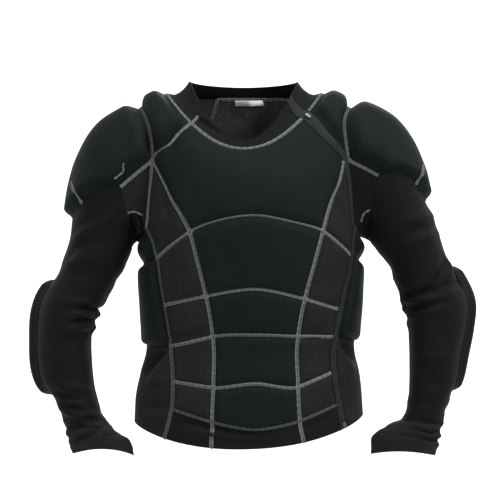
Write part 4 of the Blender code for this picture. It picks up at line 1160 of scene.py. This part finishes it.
class Sewing:
    """Bands of thread gathered into one mesh for each finish and part of the garment."""

    def __init__(self):
        self.meshes = {}

    def part(self, key):
        """Points, faces and flat places of one gathered mesh."""
        return self.meshes.setdefault(key, ([], [], []))

    def add_strip(self, key, rows, flat_rows):
        """A strip of quads through rows of points."""
        points, faces, flat = self.part(key)
        first = len(points)
        width = len(rows[0])
        for row in rows:
            points.extend(row)
        for j in range(len(rows) - 1):
            for i in range(width - 1):
                corners = ((j, i), (j, i + 1), (j + 1, i + 1), (j + 1, i))
                faces.append([first + a * width + b for a, b in corners])
                flat.extend(flat_rows[a][b] for a, b in corners)

    def add_thread(self, key, places, outwards, radius):
        """A half round thread along places."""
        rows, flat = [], []
        for k, place in enumerate(places):
            ahead = places[min(k + 1, len(places) - 1)] - places[max(k - 1, 0)]
            across = np.cross(outwards[k], ahead)
            across /= max(np.linalg.norm(across), 1e-9)
            rows.append([place + across * radius * c + outwards[k] * radius * s
                         for c, s in ((-1, -0.4), (-0.6, 0.8), (0.6, 0.8), (1, -0.4))])
            flat.append([(c * radius, k * 1.0) for c in (-1, -0.5, 0.5, 1)])
        self.add_strip(key, rows, flat)

    def add_band(self, key, line, normals, width, lift, threads=True):
        """A flat sewn band along a line of the cloth."""
        places, outwards, lengths = evenly(smoothed(line), normals, THREAD_PITCH)
        ahead = np.gradient(places, axis=0)
        across = np.cross(outwards, ahead)
        across /= np.maximum(np.linalg.norm(across, axis=1), 1e-9)[:, None]
        half = width / 2
        rows, flat = [], []
        for place, out, side, length in zip(places, outwards, across, lengths):
            rows.append([place + side * half * share + out * (lift + rise)
                         for share, rise in BAND_FORM])
            flat.append([(share * half, length) for share, _ in BAND_FORM])
        self.add_strip(key, rows, flat)
        if not threads:
            return
        top = lift + BAND_TOP
        for share in NEEDLE_LINES:
            self.add_thread(key, places + across * half * share + outwards * top, outwards, LOOPER_RADIUS)
        for k in range(len(places) - 1):
            slant = (places[k + 1] - places[k]) * 0.45
            steps = (-0.9, -0.45, 0.0, 0.45, 0.9)
            spots = np.array([places[k] + across[k] * half * s + slant * s
                              + outwards[k] * (lift + BAND_TOP * (1.0 - 0.25 * s * s)) for s in steps])
            self.add_thread(key, spots, np.array([outwards[k]] * len(steps)), THREAD_RADIUS)


def sew_seams(sewing, points, raised, normals, cells):
    """Add a band along every sewn seam."""
    shared = seam_edges(cells)
    for one_side, other_side, thread, width, face, lift in SEWN:
        edges = [edge for edge, a, b in shared
                 if (a.startswith(one_side) and b.startswith(other_side))
                 or (b.startswith(one_side) and a.startswith(other_side))]
        for run in chains(edges):
            if len(run) < 4:
                continue
            if face == "out":
                sewing.add_band(thread, raised[run], normals[run], width, lift, threads=thread != "dark")
            else:
                sewing.add_band(thread, points[run], -normals[run], width, CLOTH_INSIDE)


# Short rows of stitches that follow no seam, and how far they stand off the cloth. Columns: thread,
# width, points as seen from ahead (across, height)
SHORT_ROW_LIFT = 0.3
SHORT_ROWS = (
    ("grey", 3.4, ((-219, -130), (-225, -142), (-237, -156))),
    ("grey", 3.6, ((-216, -213), (-204, -211), (-190, -217))),
    ("grey", 3.6, ((193, -226), (198, -214), (207, -209))),
    ("grey", 5.6, ((-103, -55), (-95, -50), (-90, -45))),
    ("grey", 6.4, ((160, -576), (164, -588))),
    ("grey", 7.6, ((-316, -160), (-308, -178), (-295, -198))),
    ("grey", 7.6, ((303, -130), (299, -147), (288, -163))),
)
# Near-black ovals of painted shade under the arms, as seen from ahead: middle (across, height), half width,
# half height
UNDERARM_SHADES = (
    (205, -235, 11, 22),
    (-203, -238, 15, 26),
)
SHADE_RINGS, SHADE_STEPS = 6, 28
SHADE_LIFT = 0.35


# Materials
def tone(value):
    """Linear colour of a grey or colour given from 0 to 255."""
    return tuple(((v / 255 + 0.055) / 1.055) ** 2.4 if v > 10 else v / 255 / 12.92 for v in value) + (1.0,)


CLOTHS = {
    # colour of the yarn, of its hollows (darker, as painted shade), roughness, sheen, wale in millimetres,
    # bump
    "knit": ((15, 24, 24), (4, 8, 8), 0.7, 0.02, 0.9, 0.3),
    "mesh": ((38, 38, 38), (12, 12, 12), 0.85, 0.02, 1.5, 0.45),
    "rib": ((24, 25, 25), (8, 8, 8), 0.85, 0.02, 1.2, 0.4),
    "sleeve": ((14, 18, 18), (4, 6, 6), 0.72, 0.02, 0.9, 0.3),
    "inside": ((70, 69, 69), (46, 45, 45), 0.9, 0.02, 0.9, 0.3),
    "placket": ((46, 48, 48), (19, 20, 20), 0.75, 0.02, 0.7, 0.3),
    # Near-black cloth of painted shade, for the underarm ovals and the collar's inside
    "painted_shade": ((13, 13, 14), (2, 2, 2), 0.9, 0.0, 1.9, 0.6),
}


def new_material(name):
    """Material with its node tree, links and shader."""
    made = bpy.data.materials.new(name)
    made.use_nodes = True
    tree = made.node_tree
    return made, tree, tree.nodes["Principled BSDF"]


def math_node(tree, kind, first, second=None):
    """Link a maths node; each input is a socket or a number."""
    node = tree.nodes.new("ShaderNodeMath")
    node.operation = kind
    for socket, value in zip(node.inputs, (first, second)):
        if value is None:
            continue
        if isinstance(value, (int, float)):
            socket.default_value = value
        else:
            tree.links.new(value, socket)
    return node.outputs[0]


def ramp(tree, factor, low, high, low_colour, high_colour):
    """Colour ramp between two places."""
    node = tree.nodes.new("ShaderNodeValToRGB")
    node.color_ramp.elements[0].position = low
    node.color_ramp.elements[1].position = high
    node.color_ramp.elements[0].color = low_colour
    node.color_ramp.elements[1].color = high_colour
    tree.links.new(factor, node.inputs["Fac"])
    return node.outputs["Color"]


def noise_node(tree, vector, scale, detail=3.0):
    """Noise at a scale, given per metre of cloth."""
    node = tree.nodes.new("ShaderNodeTexNoise")
    node.inputs["Scale"].default_value = scale
    node.inputs["Detail"].default_value = detail
    tree.links.new(vector, node.inputs["Vector"])
    return node.outputs["Fac"]


def mixed(tree, factor, first, second, blend="MIX"):
    """Mix two colours."""
    node = tree.nodes.new("ShaderNodeMix")
    node.data_type = "RGBA"
    node.blend_type = blend
    sockets = [s for s in node.inputs if s.enabled]
    for socket, value in zip(sockets, (factor, first, second)):
        if isinstance(value, (int, float, tuple)):
            socket.default_value = value
        else:
            tree.links.new(value, socket)
    return next(s for s in node.outputs if s.enabled)


def add_bump(tree, shader, height, strength, distance):
    """Fine relief from a height."""
    node = tree.nodes.new("ShaderNodeBump")
    node.inputs["Strength"].default_value = strength
    node.inputs["Distance"].default_value = distance
    tree.links.new(height, node.inputs["Height"])
    tree.links.new(node.outputs["Normal"], shader.inputs["Normal"])


def cloth_material(name):
    """Knitted cloth: wales and courses of loops, darker in their hollows as painted shade, uneven dye and a
    soft nap.
    """
    yarn, painted_hollow_shade, roughness, sheen, wale, bump = CLOTHS[name]
    made, tree, shader = new_material("cloth_" + name)
    coordinates = tree.nodes.new("ShaderNodeTexCoord")
    flat = coordinates.outputs["UV"]
    place = coordinates.outputs["Object"]
    split = tree.nodes.new("ShaderNodeSeparateXYZ")
    tree.links.new(flat, split.inputs[0])
    turns = 2 * math.pi / (wale * MM)
    across = math_node(tree, "MULTIPLY", split.outputs["X"], turns)
    lean = math_node(tree, "ABSOLUTE", math_node(tree, "SINE", math_node(tree, "MULTIPLY", across, 0.5)))
    up = math_node(tree, "MULTIPLY", split.outputs["Y"], turns * 1.3)
    loops = math_node(tree, "SINE", math_node(tree, "ADD", up, math_node(tree, "MULTIPLY", lean, 2.6)))
    loops = math_node(tree, "ADD", math_node(tree, "MULTIPLY", loops, 0.5), 0.5)
    knit = math_node(tree, "MULTIPLY", loops, math_node(tree, "POWER", lean, 0.6))
    fuzz = noise_node(tree, place, 900.0, 4.0)
    height = math_node(tree, "ADD", math_node(tree, "MULTIPLY", knit, 0.75),
                       math_node(tree, "MULTIPLY", fuzz, 0.5))
    dye = noise_node(tree, place, 26.0, 5.0)
    speckle = noise_node(tree, place, 420.0, 2.0)
    # Painted shade: the yarn's colour darkens towards the knit's hollows, where the bump is low.
    colour = ramp(tree, height, 0.12, 0.85, tone(painted_hollow_shade), tone(yarn))
    patches = ramp(tree, dye, 0.3, 0.7, (0.80, 0.80, 0.80, 1), (1.16, 1.16, 1.16, 1))
    colour = mixed(tree, 1.0, colour, patches, "MULTIPLY")
    specks = ramp(tree, speckle, 0.35, 0.7, (0.7, 0.7, 0.7, 1), (1.45, 1.45, 1.45, 1))
    colour = mixed(tree, 1.0, colour, specks, "MULTIPLY")
    tree.links.new(colour, shader.inputs["Base Color"])
    rough = math_node(tree, "ADD", math_node(tree, "MULTIPLY", dye, 0.16), roughness - 0.08)
    tree.links.new(rough, shader.inputs["Roughness"])
    add_bump(tree, shader, height, bump, 0.0004)
    shader.inputs["Sheen Weight"].default_value = sheen
    shader.inputs["Sheen Roughness"].default_value = 0.45
    shader.inputs["Sheen Tint"].default_value = (0.86, 0.93, 0.95, 1)
    shader.inputs["Specular IOR Level"].default_value = 0.12
    return made


THREADS = {
    # light and dark colour of the thread
    "grey": ((132, 135, 137), (50, 52, 54)),
    "dim": ((98, 100, 102), (38, 39, 41)),
    "dark": ((16, 17, 18), (5, 6, 6)),
}


def thread_material(name):
    """Sewing thread, with the looper's fine rungs."""
    light, dark = THREADS[name]
    made, tree, shader = new_material("thread_" + name)
    coordinates = tree.nodes.new("ShaderNodeTexCoord")
    split = tree.nodes.new("ShaderNodeSeparateXYZ")
    tree.links.new(coordinates.outputs["UV"], split.inputs[0])
    slant = math_node(tree, "ADD", split.outputs["Y"], THREAD_PITCH / 4 * MM)
    rungs = math_node(tree, "SINE", math_node(tree, "MULTIPLY", slant, 2 * math.pi / (THREAD_PITCH * MM)))
    rungs = math_node(tree, "ADD", math_node(tree, "MULTIPLY", rungs, 0.5), 0.5)
    wear = noise_node(tree, coordinates.outputs["Object"], 260.0, 3.0)
    shade = math_node(tree, "MULTIPLY", rungs, math_node(tree, "ADD", wear, 0.45))
    tree.links.new(ramp(tree, shade, 0.1, 0.8, tone(dark), tone(light)), shader.inputs["Base Color"])
    add_bump(tree, shader, rungs, 0.5, 0.0003)
    shader.inputs["Roughness"].default_value = 0.75
    shader.inputs["Specular IOR Level"].default_value = 0.15
    return made


def satin_material():
    """Woven satin tape of the blank label."""
    made, tree, shader = new_material("satin_label")
    coordinates = tree.nodes.new("ShaderNodeTexCoord")
    weave = noise_node(tree, coordinates.outputs["Object"], 1500.0, 2.0)
    tree.links.new(ramp(tree, weave, 0.3, 0.7, tone((226, 226, 227)), tone((244, 244, 244))),
                   shader.inputs["Base Color"])
    shader.inputs["Roughness"].default_value = 0.5
    return made


def metal_material():
    """Satin nickel of the slider."""
    made, tree, shader = new_material("satin_nickel")
    coordinates = tree.nodes.new("ShaderNodeTexCoord")
    brushed = noise_node(tree, coordinates.outputs["Object"], 700.0, 4.0)
    tree.links.new(ramp(tree, brushed, 0.3, 0.7, (0.1, 0.1, 0.104, 1), (0.17, 0.17, 0.176, 1)),
                   shader.inputs["Base Color"])
    tree.links.new(math_node(tree, "ADD", math_node(tree, "MULTIPLY", brushed, 0.2), 0.34),
                   shader.inputs["Roughness"])
    shader.inputs["Metallic"].default_value = 1.0
    return made


# Elbow pads
ELBOW_CELLS = (44, 56)
ELBOW_CELL_SIZE = (3.0, 3.6)
ELBOW_ROUNDING = 0.3
# Groove inside the rim: distance from the edge, half width, depth, and the least height left
ELBOW_GROOVE = (7.0, 2.2, 1.6, 0.5)


def elbow_grid(side, lines):
    """Base points and normals of an elbow pad, with rounded corners."""
    low_angle, high_angle = ELBOW_ANGLES
    low_section, high_section = ELBOW_SECTIONS
    rows, columns = ELBOW_CELLS[1], ELBOW_CELLS[0]
    grid = np.zeros((rows + 1, columns + 1, 3))
    for j in range(rows + 1):
        for i in range(columns + 1):
            u, v = 2 * i / columns - 1, 2 * j / rows - 1
            angle = (low_angle + high_angle) / 2 + (high_angle - low_angle) / 2 * u * math.sqrt(
                1 - ELBOW_ROUNDING * v * v)
            section = (low_section + high_section) / 2 + (high_section - low_section) / 2 * v * math.sqrt(
                1 - ELBOW_ROUNDING * u * u)
            grid[j, i] = sleeve_ring(side, angle, section)
    along_rows = np.gradient(grid, axis=0)
    along_columns = np.gradient(grid, axis=1)
    normals = np.cross(along_columns, along_rows) * side
    normals /= np.linalg.norm(normals, axis=2)[:, :, None]
    lift = crease_height(grid.reshape(-1, 3), lines).reshape(rows + 1, columns + 1)
    return grid + normals * lift[:, :, None], normals


def add_elbow_pad(side, lines, finish):
    """Padded overlay on the elbow, with a rim and a groove round it."""
    grid, normals = elbow_grid(side, lines)
    rows, columns = grid.shape[0] - 1, grid.shape[1] - 1
    wide, tall = ELBOW_CELL_SIZE
    order = np.arange((rows + 1) * (columns + 1)).reshape(rows + 1, columns + 1)
    cells = [("pad", [order[j, i], order[j, i + 1], order[j + 1, i + 1], order[j + 1, i]],
              [(a * wide, b * tall) for a, b in ((i, j), (i + 1, j), (i + 1, j + 1), (i, j + 1))])
             for j in range(rows) for i in range(columns)]
    if side < 0:
        cells = [(name, ring[::-1], flat[::-1]) for name, ring, flat in cells]
    points, outwards = grid.reshape(-1, 3), normals.reshape(-1, 3)
    edges = edges_of([ring for _, ring, _ in cells])
    starts, ends = points[[a for a, _ in edges]], points[[b for _, b in edges]]
    distance = edge_distances(points, starts, ends)
    base = CLOTH_OUTSIDE + ELBOW_CLEARANCE
    height = pad_height(distance, "elbow")
    groove_place, groove_width, groove_depth, least = ELBOW_GROOVE
    groove = np.exp(-((distance - groove_place) / groove_width) ** 2) * groove_depth
    height = np.maximum(height - groove, least)
    outer = points + outwards * (base + height)[:, None]
    inner = points + outwards * base
    faces, flat = closed_faces(cells, edges, range(len(points)), len(points))
    name = "elbow_pad_" + SIDE_NAMES[side]
    obj = add_mesh(name + "_foam", np.concatenate((outer, inner)), faces, finish, flat)
    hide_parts(name)


def add_label(finish):
    """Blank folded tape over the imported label's own place."""
    cad = bpy.data.objects["neck_label"]
    mesh = cad.data.copy()
    obj = linked("neck_label_tape", mesh)
    mesh.materials.clear()
    mesh.materials.append(finish)
    shape = bmesh.new()
    shape.from_mesh(mesh)
    bmesh.ops.remove_doubles(shape, verts=shape.verts, dist=1e-6)
    bmesh.ops.bevel(shape, geom=list(shape.edges), offset=0.0002, segments=2, affect="EDGES")
    shape.to_mesh(mesh)
    shape.free()
    mesh.polygons.foreach_set("use_smooth", [True] * len(mesh.polygons))
    mesh.set_sharp_from_angle(angle=math.radians(40))
    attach(obj, "root")
    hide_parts("neck_label")


# Garment
def build_garment(finishes):
    """Every piece of cloth, its sewing and its fittings."""
    net = Net()
    seams = add_torso(net)
    folds = {}
    for side in (-1, 1):
        folds.update(gathered(side, *add_sleeve(net, side, seams)))
    points = np.array(net.points)
    normals = net_normals(points, net.cells)
    lift = unevenness(points)
    lift[list(folds)] += list(folds.values())
    lines = {}
    for zone, numbers in zones_of(net.cells).items():
        lines[zone] = crease_lines(points, normals, zone, numbers)
        lift[numbers] += crease_height(points[numbers], lines[zone])
    points = points + normals * lift[:, None]

    pieces = {}
    for name, ring, flat in net.cells:
        pieces.setdefault(name, []).append((name, ring, flat))
    surface = np.zeros(len(points))
    sleeve_numbers = {number for name, ring, _ in net.cells if name.startswith("sleeve") for number in ring}
    for name, cells in pieces.items():
        kind, cloth = kind_of(name)
        dome = None
        if kind == "cap":
            side = name.split("_")[-1]
            dome = [cell[1] for part in ("cap_pad_", "cap_tail_") for cell in pieces[part + side]]
        shape, faces, flat, used, height = wall(points, normals, cells, kind, dome,
                                               sleeve_numbers if dome else ())
        surface[used] = np.maximum(surface[used], height)
        obj = add_mesh(name + "_cloth", shape, faces, finishes[cloth], flat)
        # Inside faces take the grey inside cloth, but the collar's take the near-black cloth as painted shade
        # inside the neck.
        obj.data.materials.append(finishes["painted_shade" if name == "collar" else "inside"])
        inner_faces = range(len(cells), 2 * len(cells))
        for index in inner_faces:
            obj.data.polygons[index].material_index = 1
        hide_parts(name)
    sewing = Sewing()
    raised = points + normals * surface[:, None]
    sew_seams(sewing, points, raised, normals, net.cells)
    sew_short_rows(sewing, raised, normals)
    # Near-black ovals of painted shade at the underarms
    add_vents(raised, normals, finishes["painted_shade"])
    for thread, (shape, faces, flat) in sewing.meshes.items():
        obj = add_mesh("sewing_" + thread, shape, faces, finishes[thread], flat, sharp=60)
    for side in (-1, 1):
        add_elbow_pad(side, lines[SIDE_NAMES[side] + " sleeve"], finishes["sleeve"])


def sew_short_rows(sewing, points, normals):
    """Add the rows of stitches that follow no seam."""
    facing = np.where(normals[:, 1] < -FACING_MARGIN)[0]
    for thread, width, knots in SHORT_ROWS:
        spots = spread_line(knots, 2.0)
        line = nearest_on(points, facing, spots)
        outwards = nearest_on(normals, facing, spots, sought=points)
        sewing.add_band(thread, line, outwards, width, SHORT_ROW_LIFT)


def add_vents(points, normals, finish):
    """Lay a near-black oval on the cloth at each underarm, as painted shade under the arm."""
    facing = np.where(normals[:, 1] < -0.2)[0]
    for index, (across, height, half_width, half_height) in enumerate(UNDERARM_SHADES):
        spots = [(across, height)]
        for ring in range(1, SHADE_RINGS + 1):
            for step in range(SHADE_STEPS):
                turn = 2 * math.pi * step / SHADE_STEPS
                spots.append((across + half_width * ring / SHADE_RINGS * math.cos(turn),
                              height + half_height * ring / SHADE_RINGS * math.sin(turn)))
        base = nearest_on(points, facing, spots)
        outward = nearest_on(normals, facing, spots, sought=points)
        outward /= np.linalg.norm(outward, axis=1)[:, None]
        faces = [(0, 1 + (k + 1) % SHADE_STEPS, 1 + k) for k in range(SHADE_STEPS)]
        for ring in range(SHADE_RINGS - 1):
            start = 1 + ring * SHADE_STEPS
            for k in range(SHADE_STEPS):
                after = (k + 1) % SHADE_STEPS
                faces.append((start + k, start + after, start + SHADE_STEPS + after, start + SHADE_STEPS + k))
        flat = [(spots[n][0], spots[n][1]) for face in faces for n in face]
        obj = add_mesh("underarm_painted_shade_%d" % index, base + outward * SHADE_LIFT, faces, finish, flat)


# Stage
CAMERA_DISTANCE = 2.8
VIEW_WIDTH = 0.89
SENSOR = 36.0
CAMERA_ACROSS, CAMERA_HEIGHT = -0.0018, -0.278
FLOOR_HEIGHT = -1.9
WALL_PLACE, WALL_CURVE = 6.5, 1.2
LIGHTS = (
    # name, place, aimed at, size, power
    ("key", (2.0, -1.7, 1.9), (0.0, 0.0, -0.2), 0.9, 96.0),
    ("fill", (-2.2, -2.2, 0.6), (0.0, 0.0, -0.3), 1.5, 28.0),
    ("top", (-0.1, -0.5, 2.2), (0.0, 0.0, -0.2), 1.4, 44.0),
    ("left edge", (-2.2, 0.6, 0.3), (-0.2, 0.0, -0.3), 1.2, 12.0),
    ("right edge", (2.2, 0.6, 0.3), (0.2, 0.0, -0.3), 1.2, 12.0),
    ("back", (0.6, 2.2, 1.4), (0.0, 0.0, -0.3), 1.2, 30.0),
)


def build_stage():
    """Pale floor and backdrop, soft lights and the camera."""
    papers = []
    for name, glow in (("pale_floor", 0.2), ("pale_wall", 0.8)):
        made, _, shader = new_material(name)
        shader.inputs["Base Color"].default_value = (0.9, 0.9, 0.9, 1)
        shader.inputs["Roughness"].default_value = 0.9
        shader.inputs["Specular IOR Level"].default_value = 0.0
        shader.inputs["Emission Color"].default_value = (1, 1, 1, 1)
        shader.inputs["Emission Strength"].default_value = glow
        papers.append(made)
    bend = WALL_PLACE - WALL_CURVE
    profile = [(-8.0, FLOOR_HEIGHT), (bend, FLOOR_HEIGHT)]
    profile += [(bend + WALL_CURVE * math.sin(a), FLOOR_HEIGHT + WALL_CURVE * (1 - math.cos(a)))
                for a in (math.pi / 2 * k / 12 for k in range(1, 13))]
    profile += [(WALL_PLACE, 7.0)]
    points = [(x, y, z) for y, z in profile for x in (-10.0, 10.0)]
    faces = [(2 * k, 2 * k + 1, 2 * k + 3, 2 * k + 2) for k in range(len(profile) - 1)]
    mesh = bpy.data.meshes.new("backdrop")
    mesh.from_pydata(points, [], faces)
    for paper in papers:
        mesh.materials.append(paper)
    mesh.polygons.foreach_set("material_index", [min(k, 1) for k in range(len(faces))])
    mesh.polygons.foreach_set("use_smooth", [True] * len(mesh.polygons))
    linked("backdrop", mesh)
    for name, place, aim, size, power in LIGHTS:
        lamp = bpy.data.lights.new(name, "AREA")
        lamp.shape = "SQUARE"
        lamp.size = size
        lamp.energy = power
        obj = linked(name, lamp)
        obj.location = place
        obj.rotation_euler = (Vector(aim) - Vector(place)).to_track_quat("-Z", "Y").to_euler()
    world = bpy.data.worlds.new("studio")
    world.use_nodes = True
    world.node_tree.nodes["Background"].inputs["Color"].default_value = (1, 1, 1, 1)
    world.node_tree.nodes["Background"].inputs["Strength"].default_value = 0.16
    bpy.context.scene.world = world
    lens = bpy.data.cameras.new("camera")
    lens.sensor_width = SENSOR
    lens.lens = SENSOR * CAMERA_DISTANCE / VIEW_WIDTH
    camera = linked("camera", lens)
    camera.location = (CAMERA_ACROSS, -CAMERA_DISTANCE, CAMERA_HEIGHT)
    camera.rotation_euler = (math.pi / 2, 0.0, 0.0)
    bpy.context.scene.camera = camera
    bpy.context.scene.view_settings.view_transform = "Standard"


finishes = {name: cloth_material(name) for name in CLOTHS}
finishes.update({name: thread_material(name) for name in THREADS})
build_garment(finishes)
add_label(satin_material())
slider = bpy.data.objects["zip_slider"]
slider.data.materials[0] = metal_material()
build_stage()
